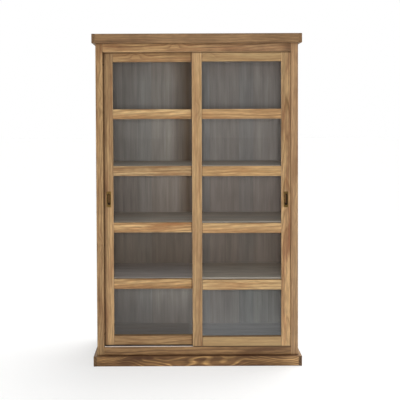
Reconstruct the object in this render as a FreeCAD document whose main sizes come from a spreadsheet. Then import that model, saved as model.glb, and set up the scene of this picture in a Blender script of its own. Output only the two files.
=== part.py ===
import FreeCAD, Part
import os
import re
import Sketcher

# A free-standing bookcase in stained pine with two glazed doors that slide past each other.
# Millimetres, +Z up, +Y towards the wall, origin on the floor under the middle of its outer box.

# Driving dimensions, one cell of the sheet each.
SIZES = {
    # Case
    "body_width": 1200,
    "body_depth": 430,
    "overhang": 20,
    "plinth_height": 60,
    "cornice_height": 55.5,
    "post_width": 42,
    "post_depth": 62,
    "rail_recess": 1.5,
    "arris": 1.5,
    # Side frames
    "side_thickness": 22,
    "rear_stile_depth": 50,
    "side_bottom_rail_lift": 40,
    "side_bottom_rail_height": 110,
    "side_middle_rail_height": 70,
    "side_top_rail_height": 90,
    "panel_thickness": 12,
    "panel_groove_depth": 10,
    "panel_clearance": 0.5,
    # Boards
    "top_board_thickness": 18,
    "top_board_drop": 18,
    "bottom_board_thickness": 20,
    "back_board_thickness": 10,
    "back_tongue_length": 6,
    "back_tongue_thickness": 3.6,
    "back_tongue_clearance": 0.2,
    "rear_rail_height": 70,
    "rear_rail_thickness": 22,
    "shelf_thickness": 22,
    "shelf_setback": 70,
    "shelf_end_clearance": 1,
    "cleat_width": 18,
    "cleat_height": 25,
    # Sill, header and track
    "sill_height": 103.5,
    "sill_rail_height": 70,
    "sill_lip_height": 4,
    "sill_lip_width": 4.5,
    "header_height": 50,
    "header_gap": 3.5,
    "groove_depth": 14,
    "groove_clearance": 0.75,
    "track_thickness": 2,
    "track_clearance": 0.5,
    "rib_width": 3,
    "rib_height": 3,
    # Doors
    "door_recess": 5,
    "door_thickness": 21,
    "door_gap": 5,
    "side_gap": 2,
    "door_ground_gap": 5.5,
    "outer_stile_width": 54,
    "meeting_stile_width": 58,
    "bottom_rail_height": 56.5,
    "glazing_bar_height": 58,
    "top_rail_height": 54,
    "pane_height": 282.5,
    "rebate_width": 8,
    "rebate_depth": 11,
    "glass_thickness": 4,
    "glass_clearance": 1,
    "tenon_thickness": 8,
    "tenon_length": 30,
    "tenon_shoulder": 10,
    "tenon_clearance": 0.1,
    "tongue_thickness": 10,
    "tongue_height": 13,
    # Flush pulls
    "pull_above_pane_edge": 142,
    "pull_plate_width": 28,
    "pull_plate_height": 94,
    "pull_plate_thickness": 1,
    "pull_mouth_width": 18,
    "pull_mouth_height": 68,
    "pull_depth": 8,
    "pull_wall": 1.2,
    "pull_clearance": 0.3,
    "pull_screw_spacing": 82,
    # Rollers
    "wheel_radius": 11,
    "flange_radius": 13,
    "wheel_width": 8,
    "tread_width": 3.8,
    "hub_radius": 5,
    "hub_width": 10,
    "wheel_lift": 0.3,
    "axle_radius": 2.5,
    "axle_clearance": 0.05,
    "roller_inset": 45,
    "roller_pocket_length": 34,
    "roller_pocket_width": 15,
    "roller_pocket_height": 27,
    "housing_wall": 1.5,
    "housing_length": 30,
    "housing_clearance": 0.2,
    # Screws, buffers and wall brackets
    "pull_screw_radius": 1.4,
    "pull_screw_length": 10,
    "pull_screw_head_radius": 2.8,
    "pull_screw_head_height": 0.9,
    "track_screw_radius": 1.75,
    "track_screw_length": 18,
    "track_screw_head_radius": 3.5,
    "track_screw_head_height": 1,
    "track_screw_end_distance": 90,
    "bracket_screw_radius": 2.1,
    "bracket_screw_length": 15,
    "bracket_screw_head_radius": 4,
    "bracket_screw_head_height": 1.6,
    "screw_clearance": 0.05,
    "buffer_radius": 5,
    "buffer_thickness": 1.7,
    "buffer_height_from_end": 70,
    "bracket_spacing": 800,
    "bracket_width": 50,
    "bracket_leg": 40,
    "bracket_thickness": 2.5,
    "bracket_hole_radius": 2.75,
    "bracket_screw_spacing": 28,
}

PANE_COUNT = 5
PANE_BESIDE_PULL = 2
BACK_BOARD_COUNT = 12
TRACK_SCREW_COUNT = 4

# Places worked out from the driving dimensions, written as expressions.
HALF_WIDTH = "(body_width / 2)"
FRONT = "((overhang - body_depth) / 2)"
BACK = f"({FRONT} + body_depth)"
HALF_OPENING = f"({HALF_WIDTH} - post_width)"
HALF_INSIDE = f"({HALF_WIDTH} - side_thickness)"
BACK_FACE = f"({BACK} - back_board_thickness)"
TRACK_TOP = "(sill_height + track_thickness)"
DOOR_BOTTOM = f"({TRACK_TOP} + door_ground_gap)"
PANE_PITCH = "(pane_height + glazing_bar_height)"
GLAZED_HEIGHT = f"({PANE_COUNT} * pane_height + {PANE_COUNT - 1} * glazing_bar_height)"
DOOR_HEIGHT = f"(bottom_rail_height + {GLAZED_HEIGHT} + top_rail_height)"
HEADER_BOTTOM = f"({DOOR_BOTTOM} + {DOOR_HEIGHT} + header_gap)"
CORNICE_BOTTOM = f"({HEADER_BOTTOM} + header_height)"
POST_TOP = f"({CORNICE_BOTTOM} + cornice_height - top_board_drop - top_board_thickness)"
DOOR_WIDTH = f"({HALF_OPENING} - side_gap + meeting_stile_width / 2)"
FRONT_LANE = "door_recess"
REAR_LANE = "(door_recess + door_thickness + door_gap)"
PANE_WIDTH = f"({DOOR_WIDTH} - outer_stile_width - meeting_stile_width)"
WHEEL_CENTRE = f"({TRACK_TOP} + rib_height + wheel_lift + wheel_radius)"

SIZE_NAME = re.compile(r"\b(" + "|".join(sorted(SIZES, key=len, reverse=True)) + r")\b")

document = FreeCAD.newDocument("sliding_door_bookcase")
sheet = document.addObject("Spreadsheet::Sheet", "Sizes")
for row, (size_name, size) in enumerate(SIZES.items(), start=1):
    sheet.set(f"A{row}", size_name)
    sheet.set(f"B{row}", str(size))
    sheet.setAlias(f"B{row}", size_name)
document.recompute()

nodes = []


# ---- Helpers ---------------------------------------------------------------------------------

def bind(item, property_name, expression):
    """Tie a property to an expression written with the sheet's names."""
    item.setExpression(property_name, SIZE_NAME.sub(r"Sizes.\1", str(expression)))


def place(item, x, y, z, rotation=None):
    """Put an item at a bound place, turned first where a rotation is given."""
    if rotation is not None:
        item.Placement = FreeCAD.Placement(FreeCAD.Vector(), rotation)
    for axis, distance in zip("xyz", (x, y, z)):
        bind(item, f"Placement.Base.{axis}", distance)


def new_body(name, x, y, z, rotation=None):
    """An empty PartDesign body at a bound place."""
    body = document.addObject("PartDesign::Body", name)
    body.Label = name
    place(body, x, y, z, rotation)
    return body


def new_sketch(body, plane, offset="0"):
    """A sketch on one of the body's own planes, moved along that plane's positive axis."""
    sketch = body.newObject("Sketcher::SketchObject", f"{body.Name}_sketch")
    support = [item for item in body.Origin.OriginFeatures if item.Role == plane][0]
    sketch.AttachmentSupport = [(support, "")]
    sketch.MapMode = "FlatFace"
    # The XZ plane looks along -Y, so its offset changes sign.
    sign = "-1" if plane == "XZ_Plane" else "1"
    bind(sketch, "AttachmentOffset.Base.z", f"{sign} * ({offset})")
    return sketch


def draw_outline(sketch, corners):
    """A closed outline whose corners are each held by two distances from the sketch's origin."""
    first = sketch.GeometryCount
    count = len(corners)
    turn = FreeCAD.Rotation(FreeCAD.Vector(0, 0, 1), 360 / count)
    start = FreeCAD.Vector(1, 0, 0)
    for _ in corners:
        end = turn.multVec(start)
        sketch.addGeometry(Part.LineSegment(start, end), False)
        start = end
    for index, (across, up) in enumerate(corners):
        line = first + index
        following = first + (index + 1) % count
        sketch.addConstraint(Sketcher.Constraint("Coincident", line, 2, following, 1))
        for kind, distance in (("DistanceX", across), ("DistanceY", up)):
            number = sketch.addConstraint(Sketcher.Constraint(kind, -1, 1, line, 1, 1.0))
            bind(sketch, f"Constraints[{number}]", distance)


def draw_rectangle(sketch, left, bottom, right, top):
    """A rectangle given by its two opposite corners."""
    draw_outline(sketch, [(left, bottom), (right, bottom), (right, top), (left, top)])


def draw_circle(sketch, across, up, radius):
    """A circle held by its centre and radius."""
    circle = sketch.addGeometry(Part.Circle(FreeCAD.Vector(), FreeCAD.Vector(0, 0, 1), 1), False)
    for kind, distance in (("DistanceX", across), ("DistanceY", up)):
        number = sketch.addConstraint(Sketcher.Constraint(kind, -1, 1, circle, 3, 1.0))
        bind(sketch, f"Constraints[{number}]", distance)
    number = sketch.addConstraint(Sketcher.Constraint("Radius", circle, 1.0))
    bind(sketch, f"Constraints[{number}]", radius)


def looks_back(sketch):
    """True where the sketch's normal points along -Y."""
    return sketch.AttachmentSupport[0][0].Role == "XZ_Plane"


def pad(body, sketch, length):
    """Extrude a sketch along the positive axis of its plane."""
    feature = body.newObject("PartDesign::Pad", f"{body.Name}_pad")
    feature.Profile = sketch
    feature.Reversed = looks_back(sketch)
    bind(feature, "Length", length)
    sketch.Visibility = False


def pocket(body, sketch, depth, forward=True):
    """Cut a sketch out of the body, along the positive axis of its plane or against it."""
    feature = body.newObject("PartDesign::Pocket", f"{body.Name}_pocket")
    feature.Profile = sketch
    feature.Reversed = forward != looks_back(sketch)
    bind(feature, "Length", depth)
    sketch.Visibility = False


def revolve(body, sketch, axis):
    """Turn a sketch once round one of its own axes."""
    feature = body.newObject("PartDesign::Revolution", f"{body.Name}_revolution")
    feature.Profile = sketch
    feature.ReferenceAxis = (sketch, [axis])
    feature.Angle = 360
    sketch.Visibility = False


def ease_edges(body, direction):
    """Chamfer the outermost edges that run along a direction, as sanding does."""
    document.recompute()
    base = body.Tip
    box = base.Shape.BoundBox
    limits = ((box.XMin, box.XMax), (box.YMin, box.YMax), (box.ZMin, box.ZMax))
    across = [axis for axis in range(3) if abs(direction[axis]) < 0.5]
    chosen = []
    for number, edge in enumerate(base.Shape.Edges, start=1):
        tangent = edge.tangentAt(edge.FirstParameter)
        middle = edge.CenterOfMass
        at_corner = all(
            min(abs(middle[axis] - end) for end in limits[axis]) < 1e-6 for axis in across
        )
        if abs(tangent.dot(direction)) > 0.999 and at_corner:
            chosen.append(f"Edge{number}")
    feature = body.newObject("PartDesign::Chamfer", f"{body.Name}_arris")
    feature.Base = (base, chosen)
    bind(feature, "Size", "arris")


def board(name, low, high, eased=None):
    """A rectangular piece of wood between two corners, each an (x, y, z) of expressions."""
    body = new_body(name, *low)
    sketch = new_sketch(body, "XY_Plane")
    width, depth, height = (f"({top}) - ({bottom})" for bottom, top in zip(low, high))
    draw_rectangle(sketch, "0", "0", width, depth)
    pad(body, sketch, height)
    if eased is not None:
        ease_edges(body, eased)
    return body


def box(name, low, high):
    """A plain box between two corners, for strips and sheets that are repeated."""
    item = document.addObject("Part::Box", name)
    item.Label = name
    place(item, *low)
    for property_name, bottom, top in zip(("Length", "Width", "Height"), low, high):
        bind(item, property_name, f"({top}) - ({bottom})")
    return item


def rod(name, x, y, z, radius, length, rotation):
    """A plain cylinder turned to its axis."""
    item = document.addObject("Part::Cylinder", name)
    item.Label = name
    place(item, x, y, z, rotation)
    bind(item, "Radius", radius)
    bind(item, "Height", length)
    return item


def screw(name, kind, x, y, z, rotation=None):
    """A pan-head screw whose head sits on the surface at its place, with the shank below."""
    body = new_body(name, x, y, z, rotation)
    sketch = new_sketch(body, "XZ_Plane")
    draw_outline(sketch, [
        ("0", f"-1 * {kind}_length"),
        (f"{kind}_radius / 2", f"-1 * {kind}_length"),
        (f"{kind}_radius", f"2 * {kind}_radius - {kind}_length"),
        (f"{kind}_radius", "0"),
        (f"{kind}_head_radius", "0"),
        (f"{kind}_head_radius", f"{kind}_head_height / 3"),
        (f"{kind}_head_radius * 0.7", f"{kind}_head_height"),
        ("0", f"{kind}_head_height"),
    ])
    revolve(body, sketch, "V_Axis")
    return body


def keep(item):
    """Mark an item as one of the part's nodes."""
    nodes.append(item)


def keep_group(name, members):
    """Mark several loose solids of one kind as one node."""
    group = document.addObject("Part::Compound", name)
    group.Label = name
    group.Links = members
    nodes.append(group)


ALONG_X = FreeCAD.Vector(1, 0, 0)
ALONG_Y = FreeCAD.Vector(0, 1, 0)
ALONG_Z = FreeCAD.Vector(0, 0, 1)
Z_TO_Y = FreeCAD.Rotation(ALONG_X, -90)
Z_TO_MINUS_Y = FreeCAD.Rotation(ALONG_X, 90)
Z_TO_X = FreeCAD.Rotation(ALONG_Y, 90)


def pane_bottom(number):
    """Height above the floor of the lower edge of a pane, counted from 0 at the bottom."""
    return f"({DOOR_BOTTOM} + bottom_rail_height + {number} * {PANE_PITCH})"


def lane_middle(lane):
    """Y of the middle of a door that runs in the lane."""
    return f"({FRONT} + {lane} + door_thickness / 2)"


PULL_CENTRE = f"({pane_bottom(PANE_BESIDE_PULL)} + pull_above_pane_edge)"


# ---- Case ------------------------------------------------------------------------------------

def side_x(side, inner, outer):
    """Low and high X of a piece between two distances from the middle, on side -1 or +1."""
    if side > 0:
        return inner, outer
    return f"-1 * {outer}", f"-1 * {inner}"


def make_front_post(side, word):
    """Square front post with a groove in its back for the side frame."""
    low, _ = side_x(side, HALF_OPENING, HALF_WIDTH)
    body = new_body(f"{word}_front_post", low, FRONT, "0")
    sketch = new_sketch(body, "XY_Plane")
    draw_rectangle(sketch, "0", "0", "post_width", "post_depth")
    pad(body, sketch, POST_TOP)
    ease_edges(body, ALONG_Z)
    groove = new_sketch(body, "XY_Plane")
    inset = "(side_thickness - panel_thickness) / 2"
    start = f"post_width - {inset} - panel_thickness" if side > 0 else inset
    draw_rectangle(groove, start, "post_depth - panel_groove_depth",
                   f"{start} + panel_thickness", "post_depth")
    pocket(body, groove, POST_TOP)
    keep(body)


def make_rear_stile(side, word):
    """Rear upright of a side frame, grooved on its front edge."""
    low, _ = side_x(side, HALF_INSIDE, HALF_WIDTH)
    body = new_body(f"{word}_rear_stile", low, f"{BACK} - rear_stile_depth", "0")
    sketch = new_sketch(body, "XY_Plane")
    draw_rectangle(sketch, "0", "0", "side_thickness", "rear_stile_depth")
    pad(body, sketch, POST_TOP)
    ease_edges(body, ALONG_Z)
    groove = new_sketch(body, "XY_Plane")
    inset = "(side_thickness - panel_thickness) / 2"
    draw_rectangle(groove, inset, "0", f"{inset} + panel_thickness", "panel_groove_depth")
    pocket(body, groove, POST_TOP)
    keep(body)


SIDE_OPENING = "(body_depth - post_depth - rear_stile_depth)"
SIDE_TOP_RAIL = f"({POST_TOP} - side_top_rail_height)"
SIDE_BOTTOM_RAIL_TOP = "(side_bottom_rail_lift + side_bottom_rail_height)"
SIDE_MIDDLE_RAIL = f"(({SIDE_TOP_RAIL} + {SIDE_BOTTOM_RAIL_TOP} - side_middle_rail_height) / 2)"


def side_rail(name, side, bottom, height, grooved_below, grooved_above):
    """Rail of a side frame with stub tenons and grooves for the panels."""
    low, _ = side_x(side, HALF_INSIDE, HALF_WIDTH)
    body = new_body(name, low, f"{FRONT} + post_depth", bottom)
    sketch = new_sketch(body, "XZ_Plane")
    draw_rectangle(sketch, "0", "0", "side_thickness", height)
    pad(body, sketch, SIDE_OPENING)
    inset = "(side_thickness - panel_thickness) / 2"
    tenons = new_sketch(body, "XY_Plane")
    draw_rectangle(tenons, inset, "panel_clearance - panel_groove_depth",
                   f"{inset} + panel_thickness", "0")
    draw_rectangle(tenons, inset, SIDE_OPENING,
                   f"{inset} + panel_thickness",
                   f"{SIDE_OPENING} + panel_groove_depth - panel_clearance")
    pad(body, tenons, height)
    if grooved_below:
        groove = new_sketch(body, "YZ_Plane", inset)
        draw_rectangle(groove, "-1 * panel_groove_depth", "0",
                       f"{SIDE_OPENING} + panel_groove_depth", "panel_groove_depth")
        pocket(body, groove, "panel_thickness")
    if grooved_above:
        groove = new_sketch(body, "YZ_Plane", inset)
        draw_rectangle(groove, "-1 * panel_groove_depth", f"{height} - panel_groove_depth",
                       f"{SIDE_OPENING} + panel_groove_depth", height)
        pocket(body, groove, "panel_thickness")
    return body


def make_side_frame(side, word):
    """Three rails and two floating panels between the front post and the rear stile."""
    keep_group(f"{word}_side_rails", [
        side_rail(f"{word}_side_bottom_rail", side, "side_bottom_rail_lift",
                  "side_bottom_rail_height", False, True),
        side_rail(f"{word}_side_middle_rail", side, SIDE_MIDDLE_RAIL,
                  "side_middle_rail_height", True, True),
        side_rail(f"{word}_side_top_rail", side, SIDE_TOP_RAIL,
                  "side_top_rail_height", True, False),
    ])
    low, high = side_x(side, f"({HALF_INSIDE} + (side_thickness - panel_thickness) / 2)",
                       f"({HALF_WIDTH} - (side_thickness - panel_thickness) / 2)")
    hidden = "(panel_groove_depth - panel_clearance)"
    front = f"{FRONT} + post_depth - {hidden}"
    rear = f"{BACK} - rear_stile_depth + {hidden}"
    spans = [(SIDE_BOTTOM_RAIL_TOP, SIDE_MIDDLE_RAIL),
             (f"({SIDE_MIDDLE_RAIL} + side_middle_rail_height)", SIDE_TOP_RAIL)]
    keep_group(f"{word}_side_panels", [
        board(f"{word}_side_panel_{number}", (low, front, f"{bottom} - {hidden}"),
              (high, rear, f"{top} + {hidden}"))
        for number, (bottom, top) in enumerate(spans, start=1)
    ])


def track_screw_x(number):
    """X of a track screw, counted from 0 at the left."""
    reach = f"({HALF_OPENING} - track_screw_end_distance)"
    return f"({reach} * {2 * number - TRACK_SCREW_COUNT + 1} / {TRACK_SCREW_COUNT - 1})"


BETWEEN_LANES = f"({FRONT} + door_recess + door_thickness + door_gap / 2)"


def make_sill():
    """Front rail under the doors. A lip stands before the track, and its screws have pilot holes."""
    front = f"({FRONT} + rail_recess)"
    body = new_body("sill_rail", f"-1 * {HALF_OPENING}", front, "sill_height - sill_rail_height")
    sketch = new_sketch(body, "YZ_Plane")
    depth = "(post_depth - rail_recess)"
    lip_top = "(sill_rail_height + sill_lip_height)"
    draw_outline(sketch, [("0", "0"), (depth, "0"), (depth, "sill_rail_height"),
                          ("sill_lip_width", "sill_rail_height"), ("sill_lip_width", lip_top),
                          ("0", lip_top)])
    pad(body, sketch, f"2 * {HALF_OPENING}")
    ease_edges(body, ALONG_X)
    holes = new_sketch(body, "XY_Plane", "sill_rail_height")
    for number in range(TRACK_SCREW_COUNT):
        draw_circle(holes, f"{HALF_OPENING} + {track_screw_x(number)}",
                    f"{BETWEEN_LANES} - {front}", "track_screw_radius + screw_clearance")
    pocket(body, holes, "track_screw_length + screw_clearance - track_thickness", forward=False)
    keep(body)


def make_header():
    """Front rail over the doors, with a groove for the tongue of each door."""
    front = f"({FRONT} + rail_recess)"
    body = new_body("header_rail", f"-1 * {HALF_OPENING}", front, HEADER_BOTTOM)
    sketch = new_sketch(body, "YZ_Plane")
    height = f"({POST_TOP} - {HEADER_BOTTOM})"
    draw_rectangle(sketch, "0", "0", "post_depth - rail_recess", height)
    pad(body, sketch, f"2 * {HALF_OPENING}")
    ease_edges(body, ALONG_X)
    half_groove = "(tongue_thickness / 2 + groove_clearance)"
    grooves = new_sketch(body, "YZ_Plane")
    for lane in (FRONT_LANE, REAR_LANE):
        middle = f"({lane_middle(lane)} - {front})"
        draw_rectangle(grooves, f"{middle} - {half_groove}", "0",
                       f"{middle} + {half_groove}", "groove_depth")
    pocket(body, grooves, f"2 * {HALF_OPENING}")
    keep(body)


def make_track():
    """Extruded track behind the sill's lip, with a running rib for each door."""
    front = f"({FRONT} + rail_recess + sill_lip_width + track_clearance)"
    length = f"(2 * ({HALF_OPENING} - track_clearance))"
    depth = f"(2 * ({BETWEEN_LANES} - {front}))"
    body = new_body("lower_track", f"track_clearance - {HALF_OPENING}", front, "sill_height")
    sketch = new_sketch(body, "YZ_Plane")
    top = "(track_thickness + rib_height)"
    corners = [("0", "0"), (depth, "0"), (depth, "track_thickness")]
    for lane in (REAR_LANE, FRONT_LANE):
        middle = f"({lane_middle(lane)} - {front})"
        for half in ("+ rib_width / 2", "- rib_width / 2"):
            foot = (f"{middle} {half}", "track_thickness")
            head = (f"{middle} {half}", top)
            corners += [foot, head] if half.startswith("+") else [head, foot]
    corners.append(("0", "track_thickness"))
    draw_outline(sketch, corners)
    pad(body, sketch, length)
    holes = new_sketch(body, "XY_Plane")
    for number in range(TRACK_SCREW_COUNT):
        draw_circle(holes, f"{length} / 2 + {track_screw_x(number)}",
                    f"{BETWEEN_LANES} - {front}", "track_screw_radius + screw_clearance")
    pocket(body, holes, top)
    keep(body)
    keep_group("track_screws", [
        screw(f"track_screw_{number + 1}", "track_screw", track_screw_x(number),
              BETWEEN_LANES, TRACK_TOP)
        for number in range(TRACK_SCREW_COUNT)
    ])


def make_back():
    """Tongued and grooved boards up the back, with a rail behind the top and the bottom board."""
    pitch = f"(2 * {HALF_INSIDE} / {BACK_BOARD_COUNT})"
    middle = "(back_board_thickness / 2)"
    half_tongue = "(back_tongue_thickness / 2)"
    half_slot = "(back_tongue_thickness / 2 + back_tongue_clearance)"
    tongue_end = f"({pitch} + back_tongue_length - back_tongue_clearance)"
    foot = "(sill_height - bottom_board_thickness - rear_rail_height)"
    boards = []
    for number in range(BACK_BOARD_COUNT):
        body = new_body(f"back_board_{number + 1}", f"{number} * {pitch} - {HALF_INSIDE}",
                        BACK_FACE, foot)
        sketch = new_sketch(body, "XY_Plane")
        corners = [("0", "0"), (pitch, "0")]
        if number < BACK_BOARD_COUNT - 1:
            front, rear = f"{middle} - {half_tongue}", f"{middle} + {half_tongue}"
            corners += [(pitch, front), (tongue_end, front), (tongue_end, rear), (pitch, rear)]
        corners += [(pitch, "back_board_thickness"), ("0", "back_board_thickness")]
        if number > 0:
            front, rear = f"{middle} - {half_slot}", f"{middle} + {half_slot}"
            corners += [("0", rear), ("back_tongue_length", rear),
                        ("back_tongue_length", front), ("0", front)]
        draw_outline(sketch, corners)
        pad(body, sketch, f"{POST_TOP} - {foot}")
        boards.append(body)
    keep_group("back_boards", boards)
    rear_rails = {"rear_bottom_rail": foot, "rear_top_rail": f"({POST_TOP} - rear_rail_height)"}
    for name, bottom in rear_rails.items():
        keep(board(name, (f"-1 * {HALF_INSIDE}", f"{BACK_FACE} - rear_rail_thickness", bottom),
                   (HALF_INSIDE, BACK_FACE, f"{bottom} + rear_rail_height")))


def bracket_x(side):
    """X of the middle of a wall bracket."""
    return f"{side} * bracket_spacing / 2"


def bracket_screw_places():
    """(x, y) of each screw that holds a wall bracket down."""
    y = f"({BACK} - bracket_leg / 2)"
    return [(f"({bracket_x(side)} + {end} * bracket_screw_spacing / 2)", y)
            for side in (-1, 1) for end in (-1, 1)]


def make_top_board():
    """Top board, dropped in behind the cornice, with pilot holes for the wall brackets."""
    body = new_body("top_board", f"-1 * {HALF_WIDTH}", FRONT, POST_TOP)
    sketch = new_sketch(body, "XY_Plane")
    draw_rectangle(sketch, "0", "0", "body_width", "body_depth")
    pad(body, sketch, "top_board_thickness")
    holes = new_sketch(body, "XY_Plane", "top_board_thickness")
    for x, y in bracket_screw_places():
        draw_circle(holes, f"{x} + {HALF_WIDTH}", f"{y} - {FRONT}",
                    "bracket_screw_radius + screw_clearance")
    pocket(body, holes, "bracket_screw_length + screw_clearance - bracket_thickness", forward=False)
    keep(body)


def make_boards():
    """Bottom board, shelves and the cleats that carry them."""
    underside = "(sill_height - bottom_board_thickness)"
    keep(board("bottom_board", (f"-1 * {HALF_INSIDE}", f"{FRONT} + post_depth", underside),
               (HALF_INSIDE, BACK_FACE, "sill_height")))
    undersides = [underside]
    reach = f"({HALF_INSIDE} - shelf_end_clearance)"
    for number in range(1, PANE_COUNT):
        top = pane_bottom(number)
        underside = f"({top} - shelf_thickness)"
        undersides.append(underside)
        keep(board(f"shelf_{number}", (f"-1 * {reach}", f"{FRONT} + shelf_setback", underside),
                   (reach, BACK_FACE, top), eased=ALONG_X))
    cleats = []
    for side, word in ((-1, "left"), (1, "right")):
        low, high = side_x(side, f"({HALF_INSIDE} - cleat_width)", HALF_INSIDE)
        for number, underside in enumerate(undersides):
            rear = f"{BACK_FACE} - rear_rail_thickness" if number == 0 else BACK_FACE
            cleats.append(board(f"{word}_cleat_{number}",
                                (low, f"{FRONT} + post_depth", f"{underside} - cleat_height"),
                                (high, rear, underside)))
    keep_group("shelf_cleats", cleats)


def make_band(name, bottom, top):
    """Cornice or plinth: two side strips that run through and a front strip between them."""
    outer = f"({HALF_WIDTH} + overhang)"
    front = f"{FRONT} - overhang"
    for side, word in ((-1, "left"), (1, "right")):
        low, high = side_x(side, HALF_WIDTH, outer)
        keep(board(f"{name}_{word}", (low, front, bottom), (high, BACK, top), eased=ALONG_Y))
    keep(board(f"{name}_front", (f"-1 * {HALF_WIDTH}", front, bottom), (HALF_WIDTH, FRONT, top),
               eased=ALONG_X))


def make_wall_brackets():
    """Two steel angles that tie the top of the case to a wall."""
    brackets = []
    for side, word in ((-1, "left"), (1, "right")):
        body = new_body(f"{word}_wall_bracket", f"{bracket_x(side)} - bracket_width / 2",
                        f"{BACK} - bracket_leg", f"{POST_TOP} + top_board_thickness")
        sketch = new_sketch(body, "YZ_Plane")
        inner = "(bracket_leg - bracket_thickness)"
        draw_outline(sketch, [("0", "0"), ("bracket_leg", "0"), ("bracket_leg", "top_board_drop"),
                              (inner, "top_board_drop"), (inner, "bracket_thickness"),
                              ("0", "bracket_thickness")])
        pad(body, sketch, "bracket_width")
        wall_hole = new_sketch(body, "XZ_Plane", inner)
        draw_circle(wall_hole, "bracket_width / 2", "(bracket_thickness + top_board_drop) / 2",
                    "bracket_hole_radius")
        pocket(body, wall_hole, "bracket_thickness")
        screw_holes = new_sketch(body, "XY_Plane")
        for end in (-1, 1):
            draw_circle(screw_holes, f"bracket_width / 2 + {end} * bracket_screw_spacing / 2",
                        "bracket_leg / 2", "bracket_screw_radius + screw_clearance")
        pocket(body, screw_holes, "bracket_thickness")
        brackets.append(body)
    keep_group("wall_brackets", brackets)
    keep_group("bracket_screws", [
        screw(f"bracket_screw_{number}", "bracket_screw", x, y,
              f"{POST_TOP} + top_board_thickness + bracket_thickness")
        for number, (x, y) in enumerate(bracket_screw_places(), start=1)
    ])


def make_buffers():
    """Rubber discs on the posts that the doors close and open against."""
    heights = [f"{DOOR_BOTTOM} + buffer_height_from_end",
               f"{DOOR_BOTTOM} + {DOOR_HEIGHT} - buffer_height_from_end"]
    buffers = []
    places = {"left": f"-1 * {HALF_OPENING}", "right": f"{HALF_OPENING} - buffer_thickness"}
    for word, x in places.items():
        for lane in (FRONT_LANE, REAR_LANE):
            for height in heights:
                buffers.append(rod(f"{word}_buffer_{len(buffers) + 1}", x, lane_middle(lane), height,
                                   "buffer_radius", "buffer_thickness", Z_TO_X))
    keep_group("door_buffers", buffers)


# ---- Doors -----------------------------------------------------------------------------------
# A door is made in its own coordinates: X from its left edge, Y from its face, Z from its bottom.

def door_pane_bottom(number):
    """Height of a pane's lower edge above the door's bottom edge."""
    return f"(bottom_rail_height + {number} * {PANE_PITCH})"


def door_rail_spans():
    """(bottom, height) of the door's cross members, from the bottom rail to the top rail."""
    bars = [(f"({door_pane_bottom(number)} - glazing_bar_height)", "glazing_bar_height")
            for number in range(1, PANE_COUNT)]
    top = (f"({DOOR_HEIGHT} - top_rail_height)", "top_rail_height")
    return [("0", "bottom_rail_height")] + bars + [top]


def add_tongue(body, left, right):
    """Tongue on the top edge that runs in the header's groove."""
    tongue = new_sketch(body, "XZ_Plane", "(door_thickness - tongue_thickness) / 2")
    draw_rectangle(tongue, left, DOOR_HEIGHT, right, f"{DOOR_HEIGHT} + tongue_height")
    pad(body, tongue, "tongue_thickness")


def make_stile(name, origin, width, glass_on_right, pull=False):
    """Upright of a door: mortises and glass rebates on one edge, and the pull's bed if it has one."""
    body = new_body(name, *origin)
    sketch = new_sketch(body, "XZ_Plane")
    draw_rectangle(sketch, "0", "0", width, DOOR_HEIGHT)
    pad(body, sketch, "door_thickness")
    ease_edges(body, ALONG_Z)
    add_tongue(body, "0", width)
    inner_edge = width if glass_on_right else "0"
    rebate = (f"{width} - rebate_width", width) if glass_on_right else ("0", "rebate_width")
    rebates = new_sketch(body, "XZ_Plane", "door_thickness")
    for number in range(PANE_COUNT):
        bottom = door_pane_bottom(number)
        draw_rectangle(rebates, rebate[0], f"{bottom} - rebate_width",
                       rebate[1], f"{bottom} + pane_height + rebate_width")
    pocket(body, rebates, "rebate_depth", forward=False)
    mortises = new_sketch(body, "YZ_Plane", inner_edge)
    middle = "(door_thickness / 2)"
    half = "(tenon_thickness / 2 + tenon_clearance)"
    for bottom, height in door_rail_spans():
        draw_rectangle(mortises, f"{middle} - {half}", f"{bottom} + tenon_shoulder - tenon_clearance",
                       f"{middle} + {half}", f"{bottom} + {height} - tenon_shoulder + tenon_clearance")
    pocket(body, mortises, "tenon_length + tenon_clearance", forward=not glass_on_right)
    if pull:
        cut_pull_bed(body, width)
    keep(body)


def draw_slot_parts(body, half_width, half_height, across, up, make):
    """A slot with round ends, as a rectangle and then a pair of circles, each given to make()."""
    straight = f"({half_height} - {half_width})"
    middle = new_sketch(body, "XZ_Plane")
    draw_rectangle(middle, f"{across} - {half_width}", f"{up} - {straight}",
                   f"{across} + {half_width}", f"{up} + {straight}")
    make(middle)
    ends = new_sketch(body, "XZ_Plane")
    for sign in "-+":
        draw_circle(ends, across, f"{up} {sign} {straight}", half_width)
    make(ends)


def cut_pull_bed(body, width):
    """Slot and pilot holes for a flush pull in the face of an outer stile."""
    half_width = "(pull_mouth_width / 2 + pull_wall + pull_clearance)"
    half_height = "(pull_mouth_height / 2 + pull_wall + pull_clearance)"
    across = f"({width} / 2)"
    up = f"({PULL_CENTRE} - {DOOR_BOTTOM})"
    depth = "pull_depth + pull_wall + pull_clearance - pull_plate_thickness"
    draw_slot_parts(body, half_width, half_height, across, up,
                    lambda sketch: pocket(body, sketch, depth))
    holes = new_sketch(body, "XZ_Plane")
    for sign in "-+":
        draw_circle(holes, across, f"{up} {sign} pull_screw_spacing / 2",
                    "pull_screw_radius + screw_clearance")
    pocket(body, holes, "pull_screw_length + screw_clearance - pull_plate_thickness")


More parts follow.
